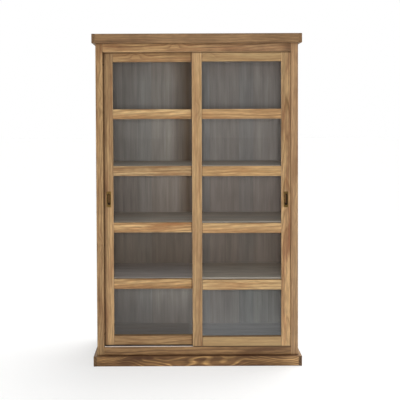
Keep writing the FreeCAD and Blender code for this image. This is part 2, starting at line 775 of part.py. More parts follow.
def make_pull(word, x, y):
    """Flush pull: a face plate with a round-ended cup behind it, held by two screws."""
    body = new_body(f"{word}_door_pull", x, f"{y} - pull_plate_thickness", PULL_CENTRE)
    plate = new_sketch(body, "XZ_Plane")
    draw_rectangle(plate, "-1 * pull_plate_width / 2", "-1 * pull_plate_height / 2",
                   "pull_plate_width / 2", "pull_plate_height / 2")
    pad(body, plate, "pull_plate_thickness")
    draw_slot_parts(body, "(pull_mouth_width / 2 + pull_wall)", "(pull_mouth_height / 2 + pull_wall)",
                    "0", "0", lambda sketch: pad(body, sketch, "pull_depth + pull_wall"))
    draw_slot_parts(body, "(pull_mouth_width / 2)", "(pull_mouth_height / 2)",
                    "0", "0", lambda sketch: pocket(body, sketch, "pull_depth"))
    holes = new_sketch(body, "XZ_Plane")
    for sign in "-+":
        draw_circle(holes, "0", f"0 {sign} pull_screw_spacing / 2",
                    "pull_screw_radius + screw_clearance")
    pocket(body, holes, "pull_plate_thickness")
    keep(body)
    keep_group(f"{word}_pull_screws", [
        screw(f"{word}_pull_screw_{number}", "pull_screw", x, f"{y} - pull_plate_thickness",
              f"{PULL_CENTRE} {sign} pull_screw_spacing / 2", Z_TO_MINUS_Y)
        for number, sign in enumerate("-+", start=1)
    ])


def door_rail(name, x, y, span, rebated_below, rebated_above):
    """Cross member of a door with its tenons and the glass rebates along its edges."""
    bottom, height = span
    body = new_body(name, x, y, f"{DOOR_BOTTOM} + {bottom}")
    sketch = new_sketch(body, "YZ_Plane")
    lip = "(door_thickness - rebate_depth)"
    corners = [("0", "0")]
    if rebated_below:
        corners += [(lip, "0"), (lip, "rebate_width"), ("door_thickness", "rebate_width")]
    else:
        corners.append(("door_thickness", "0"))
    if rebated_above:
        high = f"{height} - rebate_width"
        corners += [("door_thickness", high), (lip, high), (lip, height)]
    else:
        corners.append(("door_thickness", height))
    corners.append(("0", height))
    draw_outline(sketch, corners)
    pad(body, sketch, PANE_WIDTH)
    tenons = new_sketch(body, "XZ_Plane", "(door_thickness - tenon_thickness) / 2")
    for left, right in (("-1 * tenon_length", "0"), (PANE_WIDTH, f"{PANE_WIDTH} + tenon_length")):
        draw_rectangle(tenons, left, "tenon_shoulder", right, f"{height} - tenon_shoulder")
    pad(body, tenons, "tenon_thickness")
    return body


def make_top_rail(word, x, y):
    """Top rail of a door, with its tongue."""
    body = door_rail(f"{word}_door_top_rail", x, y, door_rail_spans()[-1], True, False)
    tongue = new_sketch(body, "XZ_Plane", "(door_thickness - tongue_thickness) / 2")
    draw_rectangle(tongue, "0", "top_rail_height", PANE_WIDTH, "top_rail_height + tongue_height")
    pad(body, tongue, "tongue_thickness")
    keep(body)


def roller_places():
    """X of each roller along the door's bottom rail."""
    return ["roller_inset", f"({PANE_WIDTH} - roller_inset)"]


def make_bottom_rail(word, x, y):
    """Bottom rail of a door, with a pocket underneath for each roller."""
    body = door_rail(f"{word}_door_bottom_rail", x, y, door_rail_spans()[0], False, True)
    pockets = new_sketch(body, "XY_Plane")
    for middle in roller_places():
        draw_rectangle(pockets, f"{middle} - roller_pocket_length / 2",
                       "(door_thickness - roller_pocket_width) / 2",
                       f"{middle} + roller_pocket_length / 2",
                       "(door_thickness + roller_pocket_width) / 2")
    pocket(body, pockets, "roller_pocket_height")
    keep(body)


def make_roller_housing(name, x, y):
    """Folded steel housing that holds a wheel up inside the bottom rail."""
    half = "(roller_pocket_width / 2 - housing_clearance)"
    inner = f"({half} - housing_wall)"
    body = new_body(name, f"{x} - housing_length / 2", y, DOOR_BOTTOM)
    sketch = new_sketch(body, "YZ_Plane")
    draw_outline(sketch, [
        (f"-1 * {half}", "housing_clearance"), (f"-1 * {inner}", "housing_clearance"),
        (f"-1 * {inner}", "roller_pocket_height - housing_wall"),
        (inner, "roller_pocket_height - housing_wall"), (inner, "housing_clearance"),
        (half, "housing_clearance"), (half, "roller_pocket_height"),
        (f"-1 * {half}", "roller_pocket_height"),
    ])
    pad(body, sketch, "housing_length")
    hole = new_sketch(body, "XZ_Plane", f"-1 * {half}")
    draw_circle(hole, "housing_length / 2", f"{WHEEL_CENTRE} - {DOOR_BOTTOM}",
                "axle_radius + axle_clearance")
    pocket(body, hole, f"2 * {half}")
    return body


def make_wheel(name, x, y):
    """Grooved nylon wheel that runs on a rib of the track."""
    body = new_body(name, x, y, WHEEL_CENTRE)
    sketch = new_sketch(body, "YZ_Plane")
    bore = "axle_radius + axle_clearance"
    draw_outline(sketch, [
        ("-1 * hub_width / 2", bore), ("hub_width / 2", bore), ("hub_width / 2", "hub_radius"),
        ("wheel_width / 2", "hub_radius"), ("wheel_width / 2", "flange_radius"),
        ("tread_width / 2", "flange_radius"), ("tread_width / 2", "wheel_radius"),
        ("-1 * tread_width / 2", "wheel_radius"), ("-1 * tread_width / 2", "flange_radius"),
        ("-1 * wheel_width / 2", "flange_radius"), ("-1 * wheel_width / 2", "hub_radius"),
        ("-1 * hub_width / 2", "hub_radius"),
    ])
    revolve(body, sketch, "H_Axis")
    keep(body)


def make_rollers(word, x, y):
    """The two rollers of a door: housings, axles and wheels."""
    middle = f"({y} + door_thickness / 2)"
    half = "(roller_pocket_width / 2 - housing_clearance)"
    housings = []
    axles = []
    for number, along in enumerate(roller_places(), start=1):
        centre = f"({x} + {along})"
        housings.append(make_roller_housing(f"{word}_door_housing_{number}", centre, middle))
        axles.append(rod(f"{word}_door_axle_{number}", centre, f"{middle} - {half}", WHEEL_CENTRE,
                         "axle_radius", f"2 * {half}", Z_TO_Y))
        make_wheel(f"{word}_door_wheel_{number}", centre, middle)
    keep_group(f"{word}_door_roller_housings", housings)
    keep_group(f"{word}_door_roller_axles", axles)


def make_glazing(word, x, y):
    """Five panes in the rebates, each held from behind by four beads."""
    panes = []
    beads = []
    lap = "(rebate_width - glass_clearance)"
    glass_face = f"({y} + door_thickness - rebate_depth)"
    glass_back = f"({glass_face} + glass_thickness)"
    back = f"({y} + door_thickness)"
    right = f"({x} + {PANE_WIDTH})"
    rebate_left = f"({x} - rebate_width)"
    rebate_right = f"({right} + rebate_width)"
    for number in range(PANE_COUNT):
        bottom = pane_bottom(number)
        top = f"({bottom} + pane_height)"
        panes.append(box(f"{word}_pane_{number + 1}",
                         (f"{x} - {lap}", glass_face, f"{bottom} - {lap}"),
                         (f"{right} + {lap}", glass_back, f"{top} + {lap}")))
        strips = {
            "bottom": (rebate_left, f"{bottom} - rebate_width", rebate_right, bottom),
            "top": (rebate_left, top, rebate_right, f"{top} + rebate_width"),
            "left": (rebate_left, bottom, x, top),
            "right": (right, bottom, rebate_right, top),
        }
        for place_word, (low_x, low_z, high_x, high_z) in strips.items():
            beads.append(box(f"{word}_bead_{number + 1}_{place_word}", (low_x, glass_back, low_z),
                             (high_x, back, high_z)))
    keep_group(f"{word}_door_panes", panes)
    keep_group(f"{word}_door_glazing_beads", beads)


def make_door(word, left_edge, lane, outer_on_left):
    """One sliding door with its glass, pull and rollers."""
    y = f"({FRONT} + {lane})"
    left_width = "outer_stile_width" if outer_on_left else "meeting_stile_width"
    right_width = "meeting_stile_width" if outer_on_left else "outer_stile_width"
    names = ("outer", "meeting") if outer_on_left else ("meeting", "outer")
    rail_x = f"({left_edge} + {left_width})"
    right_x = f"({rail_x} + {PANE_WIDTH})"
    make_stile(f"{word}_door_{names[0]}_stile", (left_edge, y, DOOR_BOTTOM), left_width,
               glass_on_right=True, pull=outer_on_left)
    make_stile(f"{word}_door_{names[1]}_stile", (right_x, y, DOOR_BOTTOM), right_width,
               glass_on_right=False, pull=not outer_on_left)
    make_bottom_rail(word, rail_x, y)
    make_top_rail(word, rail_x, y)
    keep_group(f"{word}_door_glazing_bars", [
        door_rail(f"{word}_door_bar_{number}", rail_x, y, span, True, True)
        for number, span in enumerate(door_rail_spans()[1:-1], start=1)
    ])
    make_glazing(word, rail_x, y)
    outer_edge = left_edge if outer_on_left else right_x
    make_pull(word, f"({outer_edge} + outer_stile_width / 2)", y)
    make_rollers(word, rail_x, y)


# ---- Assembly --------------------------------------------------------------------------------

for case_side, side_word in ((-1, "left"), (1, "right")):
    make_front_post(case_side, side_word)
    make_rear_stile(case_side, side_word)
    make_side_frame(case_side, side_word)
make_sill()
make_header()
make_track()
make_back()
make_top_board()
make_boards()
make_band("plinth", "0", "plinth_height")
make_band("cornice", CORNICE_BOTTOM, f"({CORNICE_BOTTOM} + cornice_height)")
make_wall_brackets()
make_buffers()
make_door("left", f"(side_gap - {HALF_OPENING})", REAR_LANE, outer_on_left=True)
make_door("right", f"({HALF_OPENING} - side_gap - {DOOR_WIDTH})", FRONT_LANE, outer_on_left=False)
document.recompute()


# ---- Checks and export -----------------------------------------------------------------------

for item in document.Objects:
    if "Invalid" in item.State or "Error" in item.State:
        raise RuntimeError(f"{item.Label} did not build: {item.State}")
    if item.TypeId == "PartDesign::Pocket" and item.Shape.Volume >= item.BaseFeature.Shape.Volume:
        raise RuntimeError(f"{item.Label} cuts nothing")

os.makedirs("parts", exist_ok=True)
for item in nodes:
    if item.Shape.isNull() or not item.Shape.isValid():
        raise RuntimeError(f"{item.Label} has no valid shape")
    item.Shape.exportStep(os.path.join("parts", f"{item.Label}.step"))
print(f"{len(nodes)} nodes written")
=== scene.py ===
"""Looks, lights and camera for a tall pine bookcase with two sliding glazed doors.

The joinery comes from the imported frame. This script stains and waxes it, eases its arrises, glazes and
fits the doors, and drives the small fixings that the frame only blocks out.
"""
import math

import bmesh
import bpy
from mathutils import Matrix, Vector


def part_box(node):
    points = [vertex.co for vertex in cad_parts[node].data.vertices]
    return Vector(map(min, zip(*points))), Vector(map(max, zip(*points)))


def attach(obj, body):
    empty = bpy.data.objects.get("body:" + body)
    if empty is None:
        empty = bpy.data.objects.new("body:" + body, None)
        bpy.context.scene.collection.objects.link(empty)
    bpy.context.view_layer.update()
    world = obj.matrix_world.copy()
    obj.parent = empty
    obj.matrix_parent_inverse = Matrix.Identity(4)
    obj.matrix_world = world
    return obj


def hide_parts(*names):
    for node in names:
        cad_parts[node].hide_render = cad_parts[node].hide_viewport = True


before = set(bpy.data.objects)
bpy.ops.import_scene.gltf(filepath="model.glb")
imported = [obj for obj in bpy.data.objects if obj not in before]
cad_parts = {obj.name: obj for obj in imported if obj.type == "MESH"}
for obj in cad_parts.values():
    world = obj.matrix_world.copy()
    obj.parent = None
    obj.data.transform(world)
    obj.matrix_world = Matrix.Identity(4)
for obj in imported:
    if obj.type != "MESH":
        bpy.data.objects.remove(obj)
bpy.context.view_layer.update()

MM = 0.001  # The scene's lengths are in metres.

AXES = "xyz"

# A Mix node has its sockets for colours behind those for numbers and vectors. These are the places of
# its factor, its two colours and the colour that comes out.
FACTOR, FIRST, SECOND, MIXED = 0, 6, 7, 2


def linear(code):
    """Turns an sRGB hex colour into linear red, green, blue and a full alpha."""
    values = [int(code[i:i + 2], 16) / 255 for i in (1, 3, 5)]
    return [v / 12.92 if v <= 0.04045 else ((v + 0.055) / 1.055) ** 2.4 for v in values] + [1.0]


def shaded(colour, level):
    """Makes a linear colour lighter or darker."""
    return [channel * level for channel in colour[:3]] + [1.0]


def add(tree, kind, inputs=None, stops=None, **settings):
    """Adds a shader node, sets it up, and links or fills its inputs. stops are a colour ramp's.

    Inputs are named or counted. A MapRange counts the value, the two ends of the range that it comes in
    and the two ends of the range that it goes out. The last two are 0 and 1 where they aren't given."""
    node = tree.nodes.new("ShaderNode" + kind)
    for name, value in settings.items():
        setattr(node, name, value)
    for socket, value in (inputs or {}).items():
        if isinstance(value, bpy.types.NodeSocket):
            tree.links.new(value, node.inputs[socket])
        else:
            node.inputs[socket].default_value = value
    if stops:
        marks = node.color_ramp.elements
        while len(marks) < len(stops):
            marks.new(1.0)
        for mark, (place, colour) in zip(marks, stops):
            mark.position = place
            mark.color = colour
    return node


def new_material(name):
    """Returns a bare material and its tree."""
    material = bpy.data.materials.new(name)
    material.use_nodes = True
    material.node_tree.nodes.clear()
    return material, material.node_tree


def grey(level):
    """A ramp colour with the same red, green and blue."""
    return (level, level, level, 1.0)


# ---------------------------------------------------------------- pine, stained and waxed

# Stains on Scots pine. Each has the pale early wood, the dark late wood between two years, the colour
# that the stain takes where it soaks in deepest, and the colour of the rubbed arrises.
STAINS = {
    "golden": ("#b8966a", "#8d6a43", "#8a5f3f", "#caa981"),
    "honey": ("#be9e6f", "#906e46", "#946a42", "#d0b288"),
    "header": ("#aa885d", "#80603d", "#7a5233", "#b79771"),
    "cornice": ("#8f704d", "#6e5136", "#62442b", "#816545"),
    "brown": ("#b08e63", "#80603d", "#78502f", "#b08e63"),
    "russet": ("#b8946c", "#8a6846", "#825b3a", "#ae8c66"),
    "tobacco": ("#a07c53", "#745437", "#62432a", "#a98764"),
    "plinth": ("#7f5f3e", "#d0a86f", "#50331e", "#7c5d3c"),
    "grey": ("#a79e99", "#978e89", "#847c77", "#b4aca7"),
    # The shelves' grey is lighter than the back's, partly as painted light on their tops.
    "lit_shelf_grey": ("#cdc2b8", "#b3a89f", "#9c9188", "#bfb4ab"),
    "cool_grey": ("#c6c4c6", "#aeabac", "#979495", "#b3b1b3"),
}
DUST_AND_SHADE = "#3b1b0b"  # the colour of wax and dust in joints, and of painted shade in corners

# Boards that lie side by side lean a little to either cast.
REDDISH = (1.04, 0.99, 0.96, 1.0)
BLUISH = (0.97, 1.0, 1.03, 1.0)

# Each board gets its own stretch of a log this long, and boards that share a node get their own numbers.
LOG_LENGTH = 5000 * MM
SEED_STEP = 731 * MM
NUMBERS_PER_SEED = 17.0

# Sizes of the figure across and along the grain. Years are 2 to 4 mm apart in pine, fibres are 0.03 mm
# thick and resin ducts 0.2 mm wide. All three are drawn coarser, because those wouldn't show.
RING = 13 * MM
FIBRE = (2.2 * MM, 143 * MM)
FLECK = (7 * MM, 60 * MM)
STREAK = (10.5 * MM, 435 * MM)
CLOUD = (50 * MM, 312 * MM)
RIPPLE = (26 * MM, 286 * MM)
HILL = (143 * MM, 312 * MM)
WANDER = (500 * MM, 588 * MM)
KNOT_CELL = (91 * MM, 182 * MM)

# How far the figure bends the years: ripples everywhere, the log's wander, and the swell at a knot.
RIPPLE_DEPTH = 3.5 * MM
WANDER_REACH = (70 * MM, 50 * MM, 0.0)
KNOT_BULGE = 22 * MM

# Where a knot's swell and its dark heart start and end, as shares of its cell.
KNOT_SWELL = (0.42, 0.0)
KNOT_HEART = (0.12, 0.06)

# How a board was cut: sideways offset of the pith, its depth behind the face, and the taper of the
# log, which turns the years into arcs where the pith lies behind the face.
STRAIGHT = (95 * MM, 60 * MM, 0.004)
LEANING = (42 * MM, 55 * MM, 0.012)
FLAME = (4 * MM, 34 * MM, 0.055)
WILD = (70 * MM, 25 * MM, 0.01)


def saw_boards(tree, sides, run, centre, face, seed, row):
    """Measures a board from the middle of its width, from its face and from its place in the log. Boards
    that share a node each get their own number, and with it their own place in the log and their own
    luck, which sets their tone and cast. Gives the place in the board, and the luck or None."""
    across, into, along = (sides[axis] for axis in run)
    shift = (seed * SEED_STEP) % LOG_LENGTH
    luck = None
    if row:
        row_axis, start, pitch = row
        steps = add(tree, "Math", {0: sides[row_axis], 1: start}, operation="SUBTRACT").outputs[0]
        steps = add(tree, "Math", {0: steps, 1: pitch}, operation="DIVIDE").outputs[0]
        number = add(tree, "Math", {0: steps}, operation="FLOOR").outputs[0]
        number = add(tree, "Math", {0: number, 1: seed * NUMBERS_PER_SEED},
                     operation="ADD").outputs[0]
        drawn = add(tree, "TexWhiteNoise", {"W": number}, noise_dimensions="1D").outputs
        luck = add(tree, "SeparateXYZ", {0: drawn["Color"]}).outputs
        shift = add(tree, "Math", {0: drawn["Value"], 1: LOG_LENGTH, 2: shift},
                    operation="MULTIPLY_ADD").outputs[0]
        if row_axis == run[0]:
            inside = add(tree, "Math", {0: steps}, operation="FRACT").outputs[0]
            inside = add(tree, "Math", {0: inside, 1: 0.5}, operation="SUBTRACT").outputs[0]
            across = add(tree, "Math", {0: inside, 1: pitch}, operation="MULTIPLY").outputs[0]
            centre = 0.0
    across = add(tree, "Math", {0: across, 1: centre}, operation="SUBTRACT").outputs[0]
    into = add(tree, "Math", {0: into, 1: face}, operation="SUBTRACT").outputs[0]
    along = add(tree, "Math", {0: along, 1: shift}, operation="ADD").outputs[0]
    return add(tree, "CombineXYZ", {0: across, 1: into, 2: along}).outputs[0], luck


def with_grain(tree, board, size, coarse=1.0, detail=1.0, roughness=0.5):
    """Noise in soft blotches of a size across and along the grain, made coarse times larger."""
    across, along = (length * coarse for length in size)
    scaled = add(tree, "VectorMath", {0: board, 1: (1 / across, 1 / across, 1 / along)},
                 operation="MULTIPLY").outputs[0]
    return add(tree, "TexNoise", {"Vector": scaled, "Scale": 1.0, "Detail": detail,
                                  "Roughness": roughness}).outputs


def grow_knots(tree, board, share):
    """The feet of branches, in a share of the cells along the board. Gives how much the years swell
    round them, and their dark hearts."""
    across, along = KNOT_CELL
    cells = add(tree, "VectorMath", {0: board, 1: (1 / across, 0.0, 1 / along)},
                operation="MULTIPLY").outputs[0]
    knot = add(tree, "TexVoronoi", {"Vector": cells, "Scale": 1.0}, voronoi_dimensions="3D").outputs
    luck = add(tree, "SeparateXYZ", {0: knot["Color"]}).outputs[0]
    grown = add(tree, "Math", {0: luck, 1: share}, operation="LESS_THAN").outputs[0]
    zones = []
    for start, end in (KNOT_SWELL, KNOT_HEART):
        zone = add(tree, "MapRange", {0: knot["Distance"], 1: start, 2: end},
                   interpolation_type="SMOOTHSTEP").outputs[0]
        zones.append(add(tree, "Math", {0: zone, 1: grown}, operation="MULTIPLY").outputs[0])
    return zones


def grow_years(tree, board, swell, cut, ring, hills, contrast):
    """The dark late wood of each year. A point's year is its distance from the pith, which wanders along
    the log, with ripples, with hills along the board and with a bulge round each knot."""
    pith_side, pith_depth, taper = cut
    wander = with_grain(tree, board, WANDER)["Color"]
    wander = add(tree, "VectorMath", {0: wander, 1: (0.5, 0.5, 0.5)}, operation="SUBTRACT").outputs[0]
    wander = add(tree, "VectorMath", {0: wander, 1: WANDER_REACH}, operation="MULTIPLY").outputs[0]
    pith = add(tree, "VectorMath", {0: wander, 1: (pith_side, pith_depth, 0.0)},
               operation="ADD").outputs[0]
    flat = add(tree, "VectorMath", {0: board, 1: (1.0, 1.0, 0.0)}, operation="MULTIPLY").outputs[0]
    reach = add(tree, "VectorMath", {0: flat, 1: pith}, operation="DISTANCE").outputs["Value"]
    along = add(tree, "SeparateXYZ", {0: board}).outputs[2]
    bends = [(along, taper), (with_grain(tree, board, RIPPLE)[0], RIPPLE_DEPTH), (swell, KNOT_BULGE)]
    if hills:
        bends.append((with_grain(tree, board, HILL)[0], hills))
    for bend, depth in bends:
        reach = add(tree, "Math", {0: bend, 1: depth, 2: reach}, operation="MULTIPLY_ADD").outputs[0]
    years = add(tree, "Math", {0: reach, 1: ring}, operation="DIVIDE").outputs[0]
    season = add(tree, "Math", {0: years}, operation="FRACT").outputs[0]
    late = add(tree, "ValToRGB", {0: season}, stops=[
        (0.0, grey(0.1)), (0.5, grey(0.0)), (0.75, grey(0.65)), (0.9, grey(1.0)), (1.0, grey(0.15))])
    year = add(tree, "Math", {0: years}, operation="FLOOR").outputs[0]
    strength = add(tree, "TexWhiteNoise", {"W": year}, noise_dimensions="1D").outputs["Value"]
    strength = add(tree, "MapRange", {0: strength, 3: 0.25 * contrast, 4: contrast}).outputs[0]
    return add(tree, "Math", {0: late.outputs[0], 1: strength}, operation="MULTIPLY").outputs[0]


def tint_and_shade(tree, colour, sides, shades):
    """Multiplies parts of a board by a tint, many of them painted shade. A shade has the ends and the
    soft edge of its part along some of the axes, and the colour that it multiplies by."""
    for limits, code in shades:
        inside = 1.0
        for axis, (low, high, soft) in limits.items():
            away = add(tree, "Math", {0: sides[axis], 1: (low + high) / 2}, operation="SUBTRACT")
            away = add(tree, "Math", {0: away.outputs[0]}, operation="ABSOLUTE").outputs[0]
            half = (high - low) / 2
            share = add(tree, "MapRange", {0: away, 1: half, 2: half + soft, 3: 1.0, 4: 0.0}).outputs[0]
            inside = add(tree, "Math", {0: share, 1: inside}, operation="MULTIPLY").outputs[0]
        shade = add(tree, "Mix", {FACTOR: inside, FIRST: linear("#ffffff"), SECOND: linear(code)},
                    data_type="RGBA").outputs[MIXED]
        colour = add(tree, "VectorMath", {0: colour, 1: shade}, operation="MULTIPLY").outputs[0]
    return colour


def wear(tree, colour, along_axis, streak, soaked, bare):
    """Cut ends drink the stain and go dark, and the arrises are rubbed through in patches."""
    normal = add(tree, "NewGeometry").outputs["True Normal"]
    facing = add(tree, "VectorMath", {0: normal}, operation="ABSOLUTE").outputs[0]
    facing = dict(zip(AXES, add(tree, "SeparateXYZ", {0: facing}).outputs))
    end = add(tree, "MapRange", {0: facing[along_axis], 1: 0.8, 2: 0.95, 3: 0.0, 4: 0.45}).outputs[0]
    colour = add(tree, "Mix", {FACTOR: end, FIRST: colour, SECOND: shaded(soaked, 0.62)},
                 data_type="RGBA").outputs[MIXED]
    flattest = add(tree, "Math", {0: facing["x"], 1: facing["y"]}, operation="MAXIMUM").outputs[0]
    flattest = add(tree, "Math", {0: flattest, 1: facing["z"]}, operation="MAXIMUM").outputs[0]
    rubbed = add(tree, "MapRange", {0: flattest, 1: 0.995, 2: 0.93}).outputs[0]
    patchy = add(tree, "MapRange", {0: streak, 1: 0.35, 2: 0.6, 3: 0.25, 4: 0.85}).outputs[0]
    rubbed = add(tree, "Math", {0: rubbed, 1: patchy}, operation="MULTIPLY").outputs[0]
    return add(tree, "Mix", {FACTOR: rubbed, FIRST: colour, SECOND: bare},
               data_type="RGBA").outputs[MIXED]


def fill_joints(tree, colour, board, pitch, joint):
    """Dust between boards that lie side by side, a little at the face and most of it at the back."""
    across, into = add(tree, "SeparateXYZ", {0: board}).outputs[:2]
    off_middle = add(tree, "Math", {0: across}, operation="ABSOLUTE").outputs[0]
    dust = add(tree, "MapRange", {0: into, 1: 3 * MM, 2: 8 * MM, 3: 0.2 * joint, 4: joint}).outputs[0]
    edge = pitch / 2
    dust = add(tree, "MapRange", {0: off_middle, 1: edge - 2.5 * MM, 2: edge - 1 * MM,
                                  3: 0.0, 4: dust}).outputs[0]
    return add(tree, "Mix", {FACTOR: dust, FIRST: colour, SECOND: linear(DUST_AND_SHADE)},
               data_type="RGBA").outputs[MIXED]


def settle_dust_and_shade(tree, colour, sides, seams):
    """Dark lines along joints and corners: wax and dust, and painted shade where one part shades
    another. A seam has its axis, its place, its reach and its strength, and it is strongest over the
    first part of its reach."""
    for axis, line, reach, strength in seams:
        away = add(tree, "Math", {0: sides[axis], 1: line}, operation="SUBTRACT").outputs[0]
        away = add(tree, "Math", {0: away}, operation="ABSOLUTE").outputs[0]
        full = 0.3 * reach
        # wax is the share of dark colour here, dust and painted shade together.
        wax = add(tree, "MapRange", {0: away, 1: full, 2: reach, 3: strength, 4: 0.0}).outputs[0]
        colour = add(tree, "Mix", {FACTOR: wax, FIRST: colour, SECOND: linear(DUST_AND_SHADE)},
                     data_type="RGBA").outputs[MIXED]
    return colour


def waxed_pine(name, stain, run, centre, face, seed, cut=STRAIGHT, row=None, tone=1.0, knots=0.12,
               contrast=1.0, ring=RING, hills=0.0, coarse=1.0, joint=0.0, seams=(), shades=()):
    """Planed pine with an oil stain under wax. The stain soaks into the early wood, so the years show
    as soft stripes, flames and rings; fine fibres and flecks break up the gloss, knots are dark, cut
    ends are darker, and arrises are rubbed thin.

    run names the axes across, into and along the board. row is the axis, start and pitch of boards that
    lie side by side in one node. ring is the width of a year, and hills is how far the years rise and
    dip along the board. coarse is how many times wider than usual the fibres, flecks and streaks are.
    joint is how dark the dust between boards is, seams are dark lines of dust and painted shade along
    joints and corners, and shades are tints over parts of a board, many of them painted shade."""
    material, tree = new_material(name)
    pale, dark, soaked, bare = (shaded(linear(code), tone) for code in STAINS[stain])
    place = add(tree, "TexCoord").outputs["Object"]
    sides = dict(zip(AXES, add(tree, "SeparateXYZ", {0: place}).outputs))
    board, luck = saw_boards(tree, sides, run, centre, face, seed, row)
    swell, heart = grow_knots(tree, board, knots)
    late = grow_years(tree, board, swell, cut, ring, hills, contrast)
    fibre = with_grain(tree, board, FIBRE, coarse, detail=3.0, roughness=0.65)[0]
    fleck = with_grain(tree, board, FLECK, coarse, detail=2.0, roughness=0.6)[0]
    streak = with_grain(tree, board, STREAK, coarse, detail=3.0)[0]
    cloud = with_grain(tree, board, CLOUD, detail=3.0)[0]

    # Early and late wood, deeper in clouds where the wood drank more stain.
    colour = add(tree, "Mix", {FACTOR: late, FIRST: pale, SECOND: dark}, data_type="RGBA").outputs[MIXED]
    depth = add(tree, "MapRange", {0: cloud, 1: 0.43, 2: 0.7, 3: 0.0, 4: 0.85 * contrast}).outputs[0]
    colour = add(tree, "Mix", {FACTOR: depth, FIRST: colour, SECOND: soaked},
                 data_type="RGBA").outputs[MIXED]

    # Fibres, flecks and streaks, each with its spread about a half and its depth; then each board's own
    # tone and cast.
    level = 1.0
    for noise, spread, depth in ((fibre, 0.17, 0.22), (fleck, 0.2, 0.24), (streak, 0.2, 0.2)):
        darkest, palest = 1 - depth * contrast, 1 + 0.8 * depth * contrast
        share = add(tree, "MapRange", {0: noise, 1: 0.5 - spread, 2: 0.5 + spread,
                                       3: darkest, 4: palest}).outputs[0]
        level = add(tree, "Math", {0: share, 1: level}, operation="MULTIPLY").outputs[0]
    if luck:
        own_tone = add(tree, "MapRange", {0: luck[0], 3: 0.93, 4: 1.07}).outputs[0]
        level = add(tree, "Math", {0: level, 1: own_tone}, operation="MULTIPLY").outputs[0]
        cast = add(tree, "Mix", {FACTOR: luck[1], FIRST: REDDISH, SECOND: BLUISH},
                   data_type="RGBA").outputs[MIXED]
        colour = add(tree, "VectorMath", {0: colour, 1: cast}, operation="MULTIPLY").outputs[0]
    colour = add(tree, "VectorMath", {0: colour, "Scale": level}, operation="SCALE").outputs[0]

    colour = tint_and_shade(tree, colour, sides, shades)
    colour = add(tree, "Mix", {FACTOR: heart, FIRST: colour, SECOND: shaded(soaked, 0.45)},
                 data_type="RGBA").outputs[MIXED]
    colour = wear(tree, colour, run[2], streak, soaked, bare)
    if joint:
        colour = fill_joints(tree, colour, board, row[2], joint)
    colour = settle_dust_and_shade(tree, colour, sides, seams)

    # Wax fills the late wood and leaves the fibres of the early wood duller.
    sheen = add(tree, "MapRange", {0: fibre, 1: 0.3, 2: 0.7, 3: 0.46, 4: 0.62}).outputs[0]
    sheen = add(tree, "Math", {0: late, 1: -0.08, 2: sheen}, operation="MULTIPLY_ADD").outputs[0]
    relief = add(tree, "Math", {0: late, 1: 0.35, 2: fibre}, operation="MULTIPLY_ADD").outputs[0]
    bump = add(tree, "Bump", {"Height": relief, "Strength": 0.35 * contrast,
                              "Distance": 0.5 * MM}).outputs[0]
    shader = add(tree, "BsdfPrincipled", {"Base Color": colour, "Roughness": sheen, "Normal": bump,
                                          "IOR": 1.5, "Coat Weight": 0.08, "Coat Roughness": 0.35})
    add(tree, "OutputMaterial", {"Surface": shader.outputs[0]})
    return material


def dress(node, material):
    """Gives a CAD node its material."""
    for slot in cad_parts[node].material_slots:
        slot.material = material


def ease(node, width):
    """Welds a node's faces together and rounds its arrises, as a pass of fine abrasive does."""
    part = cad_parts[node]
    weld = part.modifiers.new("weld", "WELD")
    weld.merge_threshold = 0.01 * MM
    bevel = part.modifiers.new("ease", "BEVEL")
    bevel.width = width
    bevel.segments = 2
    bevel.limit_method = "ANGLE"
    bevel.angle_limit = math.radians(40)
    bevel.use_clamp_overlap = True


def lay_pine(node, stain, run, seed, ease_by=0.9 * MM, **figure):
    """Stains one board or set of boards and eases its arrises. Its pith is placed from the middle of its
    width and from its face: the top of a flat board, the right of a right side, and else the near or
    left side."""
    low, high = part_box(node)
    across, into = AXES.index(run[0]), AXES.index(run[1])
    centre = (low[across] + high[across]) / 2
    face = high[into] if node.startswith("right_side") or run[1] == "z" else low[into]
    dress(node, waxed_pine(f"waxed_pine_{node}", stain, run, centre, face, seed, **figure))
    if ease_by:
        ease(node, ease_by)


# Where boards that share a node lie side by side: axis, start and pitch.
SIDE_RAILS = ("z", -500 * MM, 1000 * MM)
TOP_BOARDS = ("y", -205 * MM, 105 * MM)
BOTTOM_BOARDS = ("y", -143 * MM, 89.5 * MM)
SHELF_BOARDS = ("y", -135 * MM, 87.5 * MM)

SHELF_PITCH = 340.5 * MM
FIRST_SHELF_TOP = 508 * MM
SHELF_THICKNESS = 22 * MM
BAR_WIDTH = 58 * MM
FIRST_BAR_MIDDLE = FIRST_SHELF_TOP - BAR_WIDTH / 2
BACK_LEFT = -578 * MM
BACK_BOARDS = 12
BACK_BOARD_PITCH = 1156 * MM / BACK_BOARDS

# One bar and one pane's beads to each step, with the bars' and the panes' middles well inside it.
BAR_ROW = ("z", FIRST_BAR_MIDDLE - 1.5 * SHELF_PITCH, SHELF_PITCH)
BEAD_ROW = ("z", FIRST_BAR_MIDDLE - SHELF_PITCH, SHELF_PITCH)

# Dark lines along joints and corners, partly wax and dust and partly painted shade where one part
# shades another: axis, place, reach and strength.
TOP_EDGE = ("z", 1975 * MM, 5 * MM, 0.45)
# Painted shadow lines under the overhangs of the cornice and of the header.
UNDER_CORNICE = ("z", 1919.5 * MM, 9 * MM, 0.45)
UNDER_HEADER = ("z", 1866 * MM, 7 * MM, 0.6)
PANE_SILL = ("z", 167.5 * MM, 5 * MM, 0.5)
OVER_TRACK = ("z", 111 * MM, 2.5 * MM, 0.5)
# Painted shade along the top of the plinth, on the parts above it and on its ledge in front of the case.
BEHIND_PLINTH = ("z", 60 * MM, 5 * MM, 0.6)
PLINTH_TOP = ("z", 60 * MM, 3 * MM, 0.6)
# Painted shade where the plinth meets the floor.
FLOOR_LINE = ("z", 0.0, 4 * MM, 0.5)
